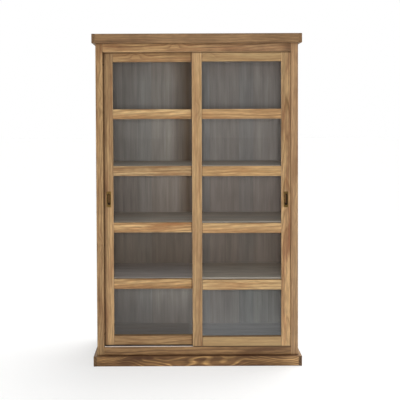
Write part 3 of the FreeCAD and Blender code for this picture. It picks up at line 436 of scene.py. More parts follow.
# Painted shade at the header's ends, wide at its right end.
HEADER_ENDS = [("x", -558 * MM, 4 * MM, 0.4), ("x", 558 * MM, 60 * MM, 0.45)]
# Painted shadow that the front posts cast on the recessed outer stiles.
REVEALS = {"left": [("x", -557 * MM, 9 * MM, 0.6), ("x", -557 * MM, 24 * MM, 0.4)],
           "right": [("x", 557 * MM, 3 * MM, 0.15)]}
# Painted shade on the left door's rails beside the right door's meeting stile.
RAIL_JOINTS = {"left": [("x", -502 * MM, 4 * MM, 0.45), ("x", -29 * MM, 9 * MM, 0.6)],
               "right": [("x", 29 * MM, 5 * MM, 0.6), ("x", 502 * MM, 4 * MM, 0.45)]}


def bar(number):
    """Ends and soft edge of a glazing bar in height, counted from 1 at the bottom."""
    middle = FIRST_BAR_MIDDLE + (number - 1) * SHELF_PITCH
    return (middle - BAR_WIDTH / 2, middle + BAR_WIDTH / 2, 10 * MM)


def compartments(first, last):
    """Ends and soft edge of some compartments in height, counted from 1 at the bottom."""
    low = FIRST_SHELF_TOP + (first - 2) * SHELF_PITCH if first > 1 else 0.0
    high = FIRST_SHELF_TOP - SHELF_THICKNESS + (last - 1) * SHELF_PITCH
    return (low, high, SHELF_THICKNESS / 2)


# Parts of a board tinted darker, browner or cooler, many of them painted shade: the ends and soft
# edge along some axes in metres, and the colour that they are multiplied by.
# Painted shade: the outer stiles grow darker towards their tops.
STILE_TOP = ({"z": (1.8, 2.2, 1.6)}, "#cacaca")
HEADER_RIGHT = ({"x": (0.3, 0.7, 0.5)}, "#e9e6f0")
PLINTH_LEFT = ({"x": (-0.7, 0.49, 0.07)}, "#e6e0d8")
BAR_SHADES = {"left": [({"z": bar(1)}, "#ebeae8"), ({"z": bar(3)}, "#e9e9ed"),
                       ({"z": bar(4)}, "#efefef")],
              "right": [({"z": bar(3)}, "#f0e9e2"), ({"z": bar(4)}, "#e6e0de")]}
LEFT_HALF = (-0.7, -0.05, 0.05)
RIGHT_HALF = (0.05, 0.7, 0.05)
# Towards the back's left end, tinted darker as painted shade by the left side of the case.
FAR_LEFT = (-0.7, -0.46, 0.26)
FAR_RIGHT = (0.4, 0.7, 0.3)
# These two bands left of the middle hold the painted shadow of the meeting stiles.
MIDDLE = (-0.055, -0.045, 0.12)
NEAR_MIDDLE = (-0.055, -0.045, 0.07)
LOWEST_STRIP = (0.0, 0.08, 0.22)
# Painted shade at the top of the back, under the top rail.
TOPMOST_STRIP = (1.8, 2.0, 0.1)
BOARD_FACE = (0.210, 0.216, 0.002)
BOTTOM_SHADES = [({"x": LEFT_HALF}, "#b9ada2"), ({"x": RIGHT_HALF}, "#f3f8ff")]
# Tints on the fronts of the back boards: the left end, the top and the bands left of the middle are
# painted shade, and the others make stretches darker, browner or cooler.
BACK_SHADES = [({**part, "y": BOARD_FACE}, code) for part, code in (
    ({"x": RIGHT_HALF}, "#f2f3f7"),
    ({"x": FAR_RIGHT, "z": compartments(1, 1)}, "#f1f9fb"),
    ({"x": LEFT_HALF, "z": LOWEST_STRIP}, "#bcb5b1"),
    ({"x": FAR_LEFT, "z": compartments(1, 1)}, "#dcd9d8"),
    ({"x": LEFT_HALF, "z": compartments(2, 2)}, "#dedbd8"),
    ({"z": compartments(2, 2)}, "#dfd4ca"),
    ({"z": compartments(3, 3)}, "#f6efeb"),
    ({"x": FAR_LEFT, "z": compartments(3, 5)}, "#d6d4d4"),
    ({"x": NEAR_MIDDLE, "z": compartments(3, 3)}, "#bdad9d"),
    ({"x": MIDDLE, "z": compartments(4, 5)}, "#a5907c"),
    ({"z": TOPMOST_STRIP}, "#efebe9"),
)]

# The case.
lay_pine("left_front_post", "brown", "xyz", 1, tone=0.99, knots=0.3,
         seams=[UNDER_CORNICE, BEHIND_PLINTH])
lay_pine("right_front_post", "russet", "xyz", 2, tone=0.92, knots=0.25, contrast=0.8,
         seams=[UNDER_CORNICE, BEHIND_PLINTH])
lay_pine("left_rear_stile", "brown", "xyz", 3)
lay_pine("right_rear_stile", "brown", "xyz", 4)
lay_pine("left_side_rails", "golden", "zxy", 5, cut=LEANING, row=SIDE_RAILS)
lay_pine("right_side_rails", "golden", "zxy", 6, cut=LEANING, row=SIDE_RAILS)
lay_pine("left_side_panels", "golden", "yxz", 7, cut=FLAME)
lay_pine("right_side_panels", "golden", "yxz", 8, cut=FLAME)
lay_pine("header_rail", "header", "zyx", 9, cut=LEANING, tone=1.12, contrast=1.1,
         seams=[UNDER_CORNICE] + HEADER_ENDS, shades=[HEADER_RIGHT])
lay_pine("sill_rail", "tobacco", "zyx", 10, cut=LEANING, tone=1.11, contrast=1.05,
         seams=[BEHIND_PLINTH])
lay_pine("plinth_front", "plinth", "zyx", 11, cut=WILD, tone=1.41, knots=0.2, contrast=1.1,
         ring=14 * MM, hills=220 * MM, seams=[FLOOR_LINE, PLINTH_TOP], shades=[PLINTH_LEFT])
lay_pine("plinth_left", "plinth", "zxy", 12, cut=LEANING, seams=[FLOOR_LINE])
lay_pine("plinth_right", "plinth", "zxy", 13, cut=LEANING, seams=[FLOOR_LINE])
lay_pine("cornice_front", "cornice", "zyx", 14, ease_by=2 * MM, tone=1.03, knots=0.0, contrast=0.8,
         seams=[TOP_EDGE])
lay_pine("cornice_left", "cornice", "zxy", 15, ease_by=2 * MM, contrast=0.7, seams=[TOP_EDGE])
# The right return's tone is raised as painted light on its right face.
lay_pine("cornice_right", "cornice", "zxy", 16, ease_by=2 * MM, tone=1.2, contrast=0.7,
         seams=[TOP_EDGE])
lay_pine("top_board", "tobacco", "yzx", 17, cut=FLAME, row=TOP_BOARDS)

# The doors. Each comes from its own boards, so their stains, cuts and tones differ.
DOORS = {
    "left": {
        "outer_stile": {"stain": "golden", "cut": STRAIGHT, "tone": 1.26, "contrast": 0.9},
        "bottom_rail": {"stain": "brown", "tone": 1.13, "contrast": 0.85},
        "top_rail": {"stain": "header", "tone": 1.04, "contrast": 1.0},
        "glazing_bars": {"stain": "honey", "tone": 1.23, "contrast": 1.2},
    },
    "right": {
        "outer_stile": {"stain": "golden", "cut": FLAME, "tone": 1.32, "contrast": 1.25},
        "bottom_rail": {"stain": "honey", "tone": 0.95, "contrast": 0.4},
        "top_rail": {"stain": "honey", "tone": 0.8, "contrast": 0.75},
        "glazing_bars": {"stain": "honey", "tone": 1.12, "contrast": 0.95},
    },
}
for door, seed in (("left", 20), ("right", 30)):
    own = DOORS[door]
    lay_pine(f"{door}_door_outer_stile", run="xyz", seed=seed, seams=REVEALS[door] + [UNDER_HEADER],
             shades=[STILE_TOP], **own["outer_stile"])
    lay_pine(f"{door}_door_meeting_stile", "golden", "xyz", seed + 1, cut=LEANING, tone=0.99,
             contrast=0.75, seams=[UNDER_HEADER])
    lay_pine(f"{door}_door_bottom_rail", run="zyx", seed=seed + 2, cut=LEANING,
             seams=[OVER_TRACK, PANE_SILL] + RAIL_JOINTS[door], **own["bottom_rail"])
    lay_pine(f"{door}_door_top_rail", run="zyx", seed=seed + 3, cut=LEANING, knots=0.2,
             seams=[UNDER_HEADER] + RAIL_JOINTS[door], **own["top_rail"])
    lay_pine(f"{door}_door_glazing_bars", run="zyx", seed=seed + 4, cut=LEANING, row=BAR_ROW, knots=0.1,
             seams=RAIL_JOINTS[door], shades=BAR_SHADES[door], **own["glazing_bars"])
    lay_pine(f"{door}_door_glazing_beads", "golden", "zyx", seed + 5, ease_by=0.5 * MM, row=BEAD_ROW)

# The inside, stained grey.
lay_pine("back_boards", "grey", "xyz", 40, ease_by=0.0, row=("x", BACK_LEFT, BACK_BOARD_PITCH),
         tone=1.14, knots=0.0, contrast=0.45, coarse=4.0, ring=48 * MM, joint=0.55,
         shades=BACK_SHADES)
lay_pine("rear_bottom_rail", "grey", "zyx", 41)
lay_pine("rear_top_rail", "grey", "zyx", 42)
lay_pine("bottom_board", "cool_grey", "yzx", 43, row=BOTTOM_BOARDS, tone=1.045, contrast=0.45,
         coarse=2.3, shades=BOTTOM_SHADES)
for number, seed in ((1, 44), (2, 45), (3, 46), (4, 47)):
    lay_pine(f"shelf_{number}", "lit_shelf_grey", "yzx", seed, row=SHELF_BOARDS, contrast=0.45, coarse=2.3,
             shades=[({"x": LEFT_HALF}, "#f3f4ff")] if number == 1 else [])
lay_pine("shelf_cleats", "grey", "zxy", 48)


# ---------------------------------------------------------------- glass, metals, nylon and rubber

def float_glass():
    """Clear float glass, 4 mm, wiped by hand: sharp reflections with a trace of film in places."""
    material, tree = new_material("clear_float_glass")
    place = add(tree, "TexCoord").outputs["Object"]
    wipe_width, wipe_length = 110 * MM, 500 * MM  # strokes of a cloth
    wipes = add(tree, "Mapping", {"Vector": place, "Rotation": (0.0, math.radians(35), 0.0),
                                  "Scale": (1 / wipe_width, 1 / wipe_width, 1 / wipe_length)}).outputs[0]
    film = add(tree, "TexNoise", {"Vector": wipes, "Scale": 1.0, "Detail": 2.0}).outputs[0]
    rough = add(tree, "MapRange", {0: film, 1: 0.45, 2: 0.8, 3: 0.0, 4: 0.03}).outputs[0]
    glass = add(tree, "BsdfPrincipled", {"Base Color": linear("#fbfdfc"), "Roughness": rough,
                                         "IOR": 1.52, "Transmission Weight": 1.0})
    ray = add(tree, "LightPath").outputs
    clear = add(tree, "BsdfTransparent", {"Color": linear("#f7faf9")}).outputs[0]
    soft = add(tree, "MixShader", {0: ray["Is Diffuse Ray"], 1: glass.outputs[0], 2: clear}).outputs[0]
    lit = add(tree, "MixShader", {0: ray["Is Shadow Ray"], 1: soft, 2: clear}).outputs[0]
    add(tree, "OutputMaterial", {"Surface": lit})
    return material


def aged_brass(name, plate, worn_side, tone):
    """Cast brass, darkened by a liver finish and rubbed back: warm brown metal, brighter where fingers
    touch it, a redder recess with black grime round its floor and most of it at the lower end.

    plate is the middle of the pull's front. worn_side is how far to the left of it the fingers have kept
    the recess clean, and tone is how light the finish came out."""
    material, tree = new_material(name)
    place = add(tree, "TexCoord").outputs["Object"]
    blotch_size = 11 * MM
    grain_size = 1.1 * MM  # A casting's grain is 0.3 mm, drawn coarser because that wouldn't show.
    blotch = add(tree, "TexNoise", {"Vector": place, "Scale": 1 / blotch_size, "Detail": 4.0}).outputs[0]
    grain = add(tree, "TexNoise", {"Vector": place, "Scale": 1 / grain_size, "Detail": 2.0}).outputs[0]
    colour = add(tree, "ValToRGB", {0: blotch}, stops=[
        (0.3, linear("#6b502a")), (0.5, linear("#8c6e3c")), (0.7, linear("#ab8c50"))]).outputs[0]
    colour = add(tree, "VectorMath", {0: colour, "Scale": tone}, operation="SCALE").outputs[0]
    from_plate = add(tree, "VectorMath", {0: place, 1: plate}, operation="SUBTRACT").outputs[0]
    side, depth, height = add(tree, "SeparateXYZ", {0: from_plate}).outputs
    deep = add(tree, "MapRange", {0: depth, 1: 0.4 * MM, 2: 1.6 * MM}).outputs[0]

    # The recess is redder, and its grime lies away from a spine along the middle of its floor.
    redness = add(tree, "Math", {0: deep, 1: 0.75}, operation="MULTIPLY").outputs[0]
    colour = add(tree, "Mix", {FACTOR: redness, FIRST: colour, SECOND: linear("#926840")},
                 data_type="RGBA").outputs[MIXED]
    half_spine = 25 * MM
    side = add(tree, "Math", {0: side, 1: worn_side}, operation="ADD").outputs[0]
    rise = add(tree, "Math", {0: height}, operation="ABSOLUTE").outputs[0]
    rise = add(tree, "Math", {0: rise, 1: half_spine}, operation="SUBTRACT").outputs[0]
    rise = add(tree, "Math", {0: rise, 1: 0.0}, operation="MAXIMUM").outputs[0]
    from_spine = add(tree, "CombineXYZ", {0: side, 2: rise}).outputs[0]
    from_spine = add(tree, "VectorMath", {0: from_spine}, operation="LENGTH").outputs["Value"]
    corner = add(tree, "MapRange", {0: from_spine, 1: 3 * MM, 2: 7.5 * MM, 3: 0.35, 4: 0.97}).outputs[0]
    low_end = add(tree, "MapRange", {0: height, 1: -8 * MM, 2: -26 * MM, 3: 0.0, 4: 0.97}).outputs[0]
    grime = add(tree, "Math", {0: corner, 1: low_end}, operation="MAXIMUM").outputs[0]
    grime = add(tree, "Math", {0: grime, 1: deep}, operation="MULTIPLY").outputs[0]
    colour = add(tree, "Mix", {FACTOR: grime, FIRST: colour, SECOND: linear("#140c05")},
                 data_type="RGBA").outputs[MIXED]

    # Bare metal shows in blotches where there's no grime.
    bare = add(tree, "MapRange", {0: blotch, 1: 0.35, 2: 0.7, 3: 0.3, 4: 0.9}).outputs[0]
    clean = add(tree, "Math", {0: 1.0, 1: grime}, operation="SUBTRACT").outputs[0]
    bare = add(tree, "Math", {0: bare, 1: clean}, operation="MULTIPLY").outputs[0]
    rough = add(tree, "MapRange", {0: blotch, 1: 0.3, 2: 0.7, 3: 0.6, 4: 0.4}).outputs[0]
    rough = add(tree, "Math", {0: grime, 1: 0.4, 2: rough}, operation="MULTIPLY_ADD").outputs[0]
    bump = add(tree, "Bump", {"Height": grain, "Strength": 0.2, "Distance": 0.1 * MM}).outputs[0]
    shader = add(tree, "BsdfPrincipled", {"Base Color": colour, "Roughness": rough, "Normal": bump,
                                          "Metallic": bare})
    add(tree, "OutputMaterial", {"Surface": shader.outputs[0]})
    return material


def satin_aluminium():
    """Extruded aluminium, satin anodised: the oxide skin scatters light softly, and die lines run along
    the track. Behind the front rib and where the right door stands over it, the track is painted dark
    as the shade of the doors, over a faint film of dust; only the open stretch before the left door
    stays pale."""
    material, tree = new_material("satin_anodised_aluminium")
    place = add(tree, "TexCoord").outputs["Object"]
    line_width, line_length = 1.1 * MM, 500 * MM  # Die lines are 0.2 mm apart, drawn coarser to show.
    dust_size = 70 * MM
    lines = add(tree, "VectorMath", {0: place, 1: (1 / line_length, 1 / line_width, 1 / line_width)},
                operation="MULTIPLY").outputs[0]
    die = add(tree, "TexNoise", {"Vector": lines, "Scale": 1.0, "Detail": 2.0}).outputs[0]
    dust = add(tree, "TexNoise", {"Vector": place, "Scale": 1 / dust_size, "Detail": 4.0}).outputs[0]
    metal = add(tree, "ValToRGB", {0: die}, stops=[
        (0.3, linear("#f8ebde")), (0.7, linear("#fff8f0"))]).outputs[0]
    along, back = add(tree, "SeparateXYZ", {0: place}).outputs[:2]
    # The track is painted dark behind the front rib and under the right door, as painted shade of the
    # doors.
    rib_back, right_door_edge = -188 * MM, -30 * MM
    behind = add(tree, "MapRange", {0: back, 1: rib_back - 1 * MM, 2: rib_back + 1 * MM,
                                    3: 0.0, 4: 0.95}).outputs[0]
    under = add(tree, "MapRange", {0: along, 1: right_door_edge - 10 * MM,
                                   2: right_door_edge + 10 * MM, 3: 0.0, 4: 0.95}).outputs[0]
    film = add(tree, "MapRange", {0: dust, 1: 0.5, 2: 0.75, 3: 0.0, 4: 0.12}).outputs[0]
    track_dust_and_shade = add(tree, "Math", {0: behind, 1: under}, operation="MAXIMUM").outputs[0]
    track_dust_and_shade = add(tree, "Math", {0: track_dust_and_shade, 1: film}, operation="MAXIMUM").outputs[0]
    # One dark colour for the painted shade and the dust.
    colour = add(tree, "Mix", {FACTOR: track_dust_and_shade, FIRST: metal, SECOND: linear("#20160e")},
                 data_type="RGBA").outputs[MIXED]
    clean = add(tree, "MapRange", {0: track_dust_and_shade, 1: 0.0, 2: 1.0, 3: 0.1, 4: 0.0}).outputs[0]
    rough = add(tree, "MapRange", {0: die, 1: 0.3, 2: 0.7, 3: 0.5, 4: 0.62}).outputs[0]
    bump = add(tree, "Bump", {"Height": die, "Strength": 0.15, "Distance": 0.05 * MM}).outputs[0]
    shader = add(tree, "BsdfPrincipled", {"Base Color": colour, "Roughness": rough, "Normal": bump,
                                          "Metallic": clean})
    add(tree, "OutputMaterial", {"Surface": shader.outputs[0]})
    return material


def zinc_plated_steel():
    """Pressed steel, zinc plated: cool grey with cloudy passivation and a fine dull grain."""
    material, tree = new_material("zinc_plated_steel")
    place = add(tree, "TexCoord").outputs["Object"]
    cloud_size = 14 * MM
    grain_size = 0.7 * MM  # The plating's grain is 0.05 mm, drawn coarser because that wouldn't show.
    cloud = add(tree, "TexNoise", {"Vector": place, "Scale": 1 / cloud_size, "Detail": 4.0}).outputs[0]
    grain = add(tree, "TexNoise", {"Vector": place, "Scale": 1 / grain_size, "Detail": 1.0}).outputs[0]
    colour = add(tree, "ValToRGB", {0: cloud}, stops=[
        (0.35, linear("#9c9fa3")), (0.55, linear("#b9bcc0")), (0.7, linear("#c6c4b4"))]).outputs[0]
    rough = add(tree, "MapRange", {0: cloud, 1: 0.35, 2: 0.7, 3: 0.32, 4: 0.48}).outputs[0]
    bump = add(tree, "Bump", {"Height": grain, "Strength": 0.12, "Distance": 0.05 * MM}).outputs[0]
    shader = add(tree, "BsdfPrincipled", {"Base Color": colour, "Roughness": rough, "Normal": bump,
                                          "Metallic": 1.0})
    add(tree, "OutputMaterial", {"Surface": shader.outputs[0]})
    return material


def moulded_nylon(name, axle):
    """Moulded nylon, natural: milky off-white with a fine matt skin and faint grey marks. The tread,
    which starts 9 mm out from the axle, has picked up dark dust from the track. axle is any place on
    the line that the wheel turns about."""
    material, tree = new_material(name)
    place = add(tree, "TexCoord").outputs["Object"]
    mark_size = 4.2 * MM
    skin_size = 0.45 * MM  # The mould's texture is 0.05 mm, drawn coarser because that wouldn't show.
    marks = add(tree, "TexNoise", {"Vector": place, "Scale": 1 / mark_size, "Detail": 3.0}).outputs[0]
    skin = add(tree, "TexNoise", {"Vector": place, "Scale": 1 / skin_size, "Detail": 1.0}).outputs[0]
    colour = add(tree, "ValToRGB", {0: marks}, stops=[
        (0.4, linear("#e2dfd5")), (0.65, linear("#c9c5b9"))]).outputs[0]
    flat = add(tree, "VectorMath", {0: place, 1: (1.0, 0.0, 1.0)}, operation="MULTIPLY").outputs[0]
    out = add(tree, "VectorMath", {0: flat, 1: (axle.x, 0.0, axle.z)},
              operation="DISTANCE").outputs["Value"]
    dust = add(tree, "MapRange", {0: out, 1: 8 * MM, 2: 10 * MM, 3: 0.05, 4: 0.9}).outputs[0]
    colour = add(tree, "Mix", {FACTOR: dust, FIRST: colour, SECOND: linear("#4a3d31")},
                 data_type="RGBA").outputs[MIXED]
    rough = add(tree, "MapRange", {0: marks, 1: 0.3, 2: 0.7, 3: 0.42, 4: 0.55}).outputs[0]
    bump = add(tree, "Bump", {"Height": skin, "Strength": 0.15, "Distance": 0.05 * MM}).outputs[0]
    shader = add(tree, "BsdfPrincipled", {"Base Color": colour, "Roughness": rough, "Normal": bump,
                                          "IOR": 1.53})
    add(tree, "OutputMaterial", {"Surface": shader.outputs[0]})
    return material


def black_rubber():
    """Moulded rubber: nearly black and matt, with a bloom of dust that greys it unevenly."""
    material, tree = new_material("black_rubber")
    place = add(tree, "TexCoord").outputs["Object"]
    bloom_size = 3.3 * MM
    bloom = add(tree, "TexNoise", {"Vector": place, "Scale": 1 / bloom_size, "Detail": 4.0}).outputs[0]
    colour = add(tree, "ValToRGB", {0: bloom}, stops=[
        (0.35, linear("#1c1b1a")), (0.75, linear("#34322f"))]).outputs[0]
    rough = add(tree, "MapRange", {0: bloom, 1: 0.3, 2: 0.7, 3: 0.65, 4: 0.85}).outputs[0]
    bump = add(tree, "Bump", {"Height": bloom, "Strength": 0.2, "Distance": 0.1 * MM}).outputs[0]
    shader = add(tree, "BsdfPrincipled", {"Base Color": colour, "Roughness": rough, "Normal": bump,
                                          "IOR": 1.52})
    add(tree, "OutputMaterial", {"Surface": shader.outputs[0]})
    return material


def front_middle(node):
    """The middle of a node's front, seen from the doors' side."""
    low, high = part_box(node)
    return Vector(((low.x + high.x) / 2, low.y, (low.z + high.z) / 2))


glass = float_glass()
steel = zinc_plated_steel()
brass = {}
dress("lower_track", satin_aluminium())
dress("door_buffers", black_rubber())
for node in ("track_screws", "wall_brackets", "bracket_screws"):
    dress(node, steel)
for door, worn_side, tone in (("left", 0.0, 1.25), ("right", 3 * MM, 0.9)):
    pull = f"{door}_door_pull"
    brass[door] = aged_brass(f"aged_brass_{door}", front_middle(pull), worn_side, tone)
    dress(pull, brass[door])
    ease(pull, 0.6 * MM)
    dress(f"{door}_door_panes", glass)
    dress(f"{door}_door_roller_housings", steel)
    dress(f"{door}_door_roller_axles", steel)
    for wheel in (f"{door}_door_wheel_1", f"{door}_door_wheel_2"):
        dress(wheel, moulded_nylon(f"moulded_nylon_{wheel}", front_middle(wheel)))


# ---------------------------------------------------------------- screws and nails

PULL_SCREW_REACH = 41 * MM
TRACK_SCREWS = [Vector((x, -176.5, 105.5)) * MM for x in (-468, -156, 156, 468)]
BRACKET_SCREWS = [Vector((x, 205, 1959.5)) * MM for x in (-414, -386, 386, 414)]
BACK_OUTSIDE = 225 * MM
NAIL_ROWS = [height * MM for height in (48.5, 497, 837.5, 1178, 1518.5, 1904)]
NAIL_INSET = 24 * MM

# The recess of a head: half length and half width of its arm, as shares of the head's radius, and
# whether a second arm crosses it.
SLOTTED = (1.1, 0.14, False)
CROSS = (0.62, 0.13, True)
PLAIN = (0.0, 0.0, False)

FIRST_ANGLE, NEXT_ANGLE = 12, 37


def turn_head(radius, rise, recess, depth, segments=28):
    """Turns one low crowned head that stands rise proud of its seat at z = 0, and cuts its recess to a
    depth below its rim. Its skirt goes on below the seat, so that no gap shows."""
    half, width, crossed = recess
    rim_rise, crown_rise, skirt_reach = 0.7 * rise, 0.3 * rise, rise + 0.5 * MM
    head = bmesh.new()
    bmesh.ops.create_circle(head, cap_ends=True, segments=segments, radius=radius)
    for axis in (Vector((1, 0, 0)), Vector((0, 1, 0))):
        for share in sorted({-half, -width, width, half}):
            bmesh.ops.bisect_plane(head, geom=head.verts[:] + head.edges[:] + head.faces[:],
                                   plane_co=axis * share * radius, plane_no=axis)
    land = []
    for face in head.faces:
        middle = face.calc_center_median() / radius
        in_arm = abs(middle.y) < width and abs(middle.x) < half
        in_other_arm = crossed and abs(middle.x) < width and abs(middle.y) < half
        if not in_arm and not in_other_arm:
            land.append(face)
    raised = bmesh.ops.extrude_face_region(head, geom=land)["geom"]
    for vert in (item for item in raised if isinstance(item, bmesh.types.BMVert)):
        crown = 1 - (vert.co.xy.length / radius) ** 2
        vert.co.z = depth + crown_rise * crown
    rim = [edge for edge in head.edges if edge.is_boundary]
    skirt = bmesh.ops.extrude_edge_only(head, edges=rim)["geom"]
    for vert in (item for item in skirt if isinstance(item, bmesh.types.BMVert)):
        vert.co.z = depth - skirt_reach
    bmesh.ops.translate(head, verts=head.verts, vec=(0, 0, rim_rise - depth))
    bmesh.ops.recalc_face_normals(head, faces=head.faces)
    data = bpy.data.meshes.new("turned_head")
    head.to_mesh(data)
    head.free()
    return data


def drive(name, head, seats, material, body, stands_for=None):
    """Sets a head on every seat, as one piece. A seat is a matrix with Z out of the surface. Each head
    comes to rest at its own angle."""
    joined = bmesh.new()
    for number, seat in enumerate(seats):
        angle = math.radians(FIRST_ANGLE + number * NEXT_ANGLE)
        one = head.copy()
        one.transform(seat @ Matrix.Rotation(angle, 4, "Z"))
        joined.from_mesh(one)
        bpy.data.meshes.remove(one)
    data = bpy.data.meshes.new(name)
    joined.to_mesh(data)
    joined.free()
    bpy.data.meshes.remove(head)
    data.materials.append(material)
    piece = bpy.data.objects.new(name, data)
    bpy.context.scene.collection.objects.link(piece)
    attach(piece, body)
    if stands_for:
        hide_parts(stands_for)


FORWARD = Matrix.Rotation(math.radians(90), 4, "X")
BACKWARD = Matrix.Rotation(math.radians(-90), 4, "X")

# Sizes of a head: radius, how far it stands proud, its recess and how deep that is.
PULL_HEAD = (2.8 * MM, 0.9 * MM, SLOTTED, 0.6 * MM)
TRACK_HEAD = (3.5 * MM, 1 * MM, CROSS, 0.8 * MM)
BRACKET_HEAD = (4 * MM, 1.6 * MM, CROSS, 1.1 * MM)
NAIL_HEAD = (2 * MM, 0.3 * MM, PLAIN, 0.0)

for door in ("left", "right"):
    plate = front_middle(f"{door}_door_pull")
    places = [plate + Vector((0.0, 0.0, reach)) for reach in (-PULL_SCREW_REACH, PULL_SCREW_REACH)]
    drive(f"{door}_slotted_screws", turn_head(*PULL_HEAD),
          [Matrix.Translation(place) @ FORWARD for place in places],
          brass[door], f"{door}_door", f"{door}_pull_screws")
drive("track_screw_heads", turn_head(*TRACK_HEAD),
      [Matrix.Translation(place) for place in TRACK_SCREWS],
      steel, "carcass", "track_screws")
drive("bracket_screw_heads", turn_head(*BRACKET_HEAD),
      [Matrix.Translation(place) for place in BRACKET_SCREWS],
      steel, "carcass", "bracket_screws")

nail_places = []
for board in range(BACK_BOARDS):
    left_edge = BACK_LEFT + board * BACK_BOARD_PITCH
    for x in (left_edge + NAIL_INSET, left_edge + BACK_BOARD_PITCH - NAIL_INSET):
        nail_places += [Vector((x, BACK_OUTSIDE, height)) for height in NAIL_ROWS]
drive("back_board_nails", turn_head(*NAIL_HEAD, segments=12),
      [Matrix.Translation(place) @ BACKWARD for place in nail_places],
      steel, "carcass")


# ---------------------------------------------------------------- floor, light and camera

def pale_floor():
    """A white painted studio floor. What the camera sees is mostly its own white, so that the floor
    meets the backdrop without an edge and still keeps the shadow. Glass and metal see it lit near the
    object and dim further in front, and everything else gets plain bounce."""
    material, tree = new_material("white_studio_floor")
    place = add(tree, "TexCoord").outputs["Object"]
    stipple_size = 17 * MM
    roller = add(tree, "TexNoise", {"Vector": place, "Scale": 1 / stipple_size,
                                    "Detail": 2.0}).outputs[0]
    paint = add(tree, "ValToRGB", {0: roller}, stops=[
        (0.3, linear("#e6e6e5")), (0.7, linear("#eaeae9"))]).outputs[0]
    seen_paint = add(tree, "ValToRGB", {0: roller}, stops=[
        (0.3, linear("#a9a9a8")), (0.7, linear("#adadac"))]).outputs[0]
    towards = add(tree, "SeparateXYZ", {0: place}).outputs[1]
    dim_until, lit_from = -1.7, -0.9
    lit = add(tree, "MapRange", {0: towards, 1: dim_until, 2: lit_from, 3: 0.06, 4: 0.55}).outputs[0]
    ray = add(tree, "LightPath").outputs
    lit = add(tree, "Mix", {"Factor": ray["Is Camera Ray"], "A": lit, "B": 1.0}).outputs[0]
    bounce = add(tree, "BsdfDiffuse", {"Color": paint}).outputs[0]
    shade = add(tree, "VectorMath", {0: seen_paint, "Scale": lit}, operation="SCALE").outputs[0]
    shade = add(tree, "BsdfDiffuse", {"Color": shade}).outputs[0]
    white = add(tree, "Math", {0: lit, 1: 0.6}, operation="MULTIPLY").outputs[0]
    white = add(tree, "Emission", {"Color": linear("#ffffff"), "Strength": white}).outputs[0]
    seen = add(tree, "AddShader", {0: shade, 1: white}).outputs[0]
    direct = add(tree, "Math", {0: ray["Is Camera Ray"], 1: ray["Is Glossy Ray"]}, operation="MAXIMUM")
    direct = add(tree, "Math", {0: direct.outputs[0], 1: ray["Is Transmission Ray"]},
                 operation="MAXIMUM").outputs[0]
    mixed = add(tree, "MixShader", {0: direct, 1: bounce, 2: seen}).outputs[0]
    add(tree, "OutputMaterial", {"Surface": mixed})
    return material


def lay_floor():
    """A wide floor at the object's feet, low enough that it doesn't lie in the plinth's underside."""
    half = 30.0
    mesh = bpy.data.meshes.new("studio_floor")
    corners = [(-half, -half, 0), (half, -half, 0), (half, half, 0), (-half, half, 0)]
    mesh.from_pydata(corners, [], [(0, 1, 2, 3)])
    floor = bpy.data.objects.new("studio_floor", mesh)
    bpy.context.scene.collection.objects.link(floor)
    floor.location.z = -0.2 * MM
    mesh.materials.append(pale_floor())


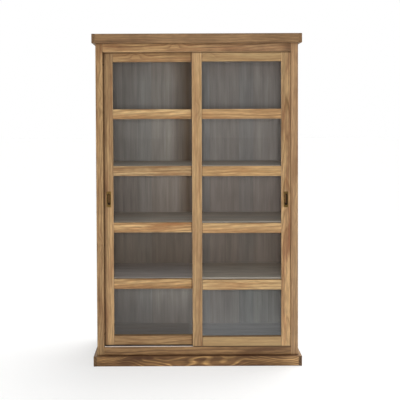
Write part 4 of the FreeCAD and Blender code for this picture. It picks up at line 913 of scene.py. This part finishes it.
def light_world():
    """A white backdrop for the eye and for what shines or is clear, dim on the side of the room that
    only the glass reflects, and a plain grey fill for the object."""
    world = bpy.data.worlds.new("studio")
    bpy.context.scene.world = world
    world.use_nodes = True
    tree = world.node_tree
    tree.nodes.clear()
    ray = add(tree, "LightPath").outputs
    towards = add(tree, "SeparateXYZ", {0: add(tree, "TexCoord").outputs["Generated"]}).outputs[1]
    backdrop = add(tree, "MapRange", {0: towards, 1: -0.2, 2: 0.1, 3: 0.1, 4: 1.0}).outputs[0]
    shown = add(tree, "Math", {0: ray["Is Glossy Ray"], 1: ray["Is Transmission Ray"]},
                operation="MAXIMUM").outputs[0]
    level = add(tree, "Mix", {"Factor": shown, "A": 0.25, "B": backdrop}).outputs[0]
    level = add(tree, "Mix", {"Factor": ray["Is Camera Ray"], "A": level, "B": 1.0}).outputs[0]
    sky = add(tree, "Background", {"Color": linear("#ffffff"), "Strength": level}).outputs[0]
    add(tree, "OutputWorld", {"Surface": sky})


MIDDLE_OF_DOORS = Vector((0.0, -0.1, 1.0))


def hang_softbox(name, watts, size, place, mirrored):
    """Hangs a square softbox aimed at the middle of the doors. The glass can be kept from showing it."""
    light = bpy.data.lights.new(name, "AREA")
    light.energy = watts
    light.size = size
    lamp = bpy.data.objects.new(name, light)
    lamp.location = place
    away = Vector(place) - MIDDLE_OF_DOORS
    lamp.rotation_euler = away.to_track_quat("Z", "Y").to_euler()
    lamp.visible_glossy = mirrored
    lamp.visible_transmission = mirrored
    bpy.context.scene.collection.objects.link(lamp)


def hang_lamps():
    """A broad soft light overhead, from the right and a little behind, a small one high in front that
    reaches the tops of the shelves, and one at eye height that reaches the back boards."""
    sun = bpy.data.lights.new("overhead_softbox", "SUN")
    sun.energy = 2.5
    sun.angle = math.radians(38)
    lamp = bpy.data.objects.new("overhead_softbox", sun)
    towards_lamp = Vector((0.285, 0.24, 0.928))
    lamp.rotation_euler = towards_lamp.to_track_quat("Z", "Y").to_euler()
    bpy.context.scene.collection.objects.link(lamp)
    hang_softbox("high_softbox", watts=11, size=1.0, place=(0.1, -1.7, 3.3), mirrored=True)
    hang_softbox("front_softbox", watts=78, size=0.8, place=(-0.1, -4.2, 1.5), mirrored=False)


def place_camera():
    """Eye height in front of the doors, level but for a degree, framed by the lens shift."""
    data = bpy.data.cameras.new("camera")
    data.sensor_width = 36
    data.lens = 54.71
    data.shift_x = 0.05
    data.shift_y = -0.1895
    camera = bpy.data.objects.new("camera", data)
    camera.location = (-0.10, -3.809, 1.521)
    camera.rotation_euler = (math.radians(90 - 1.28), math.radians(0.235), 0)
    bpy.context.scene.collection.objects.link(camera)
    bpy.context.scene.camera = camera


lay_floor()
light_world()
hang_lamps()
place_camera()
bpy.context.scene.view_settings.view_transform = "Standard"
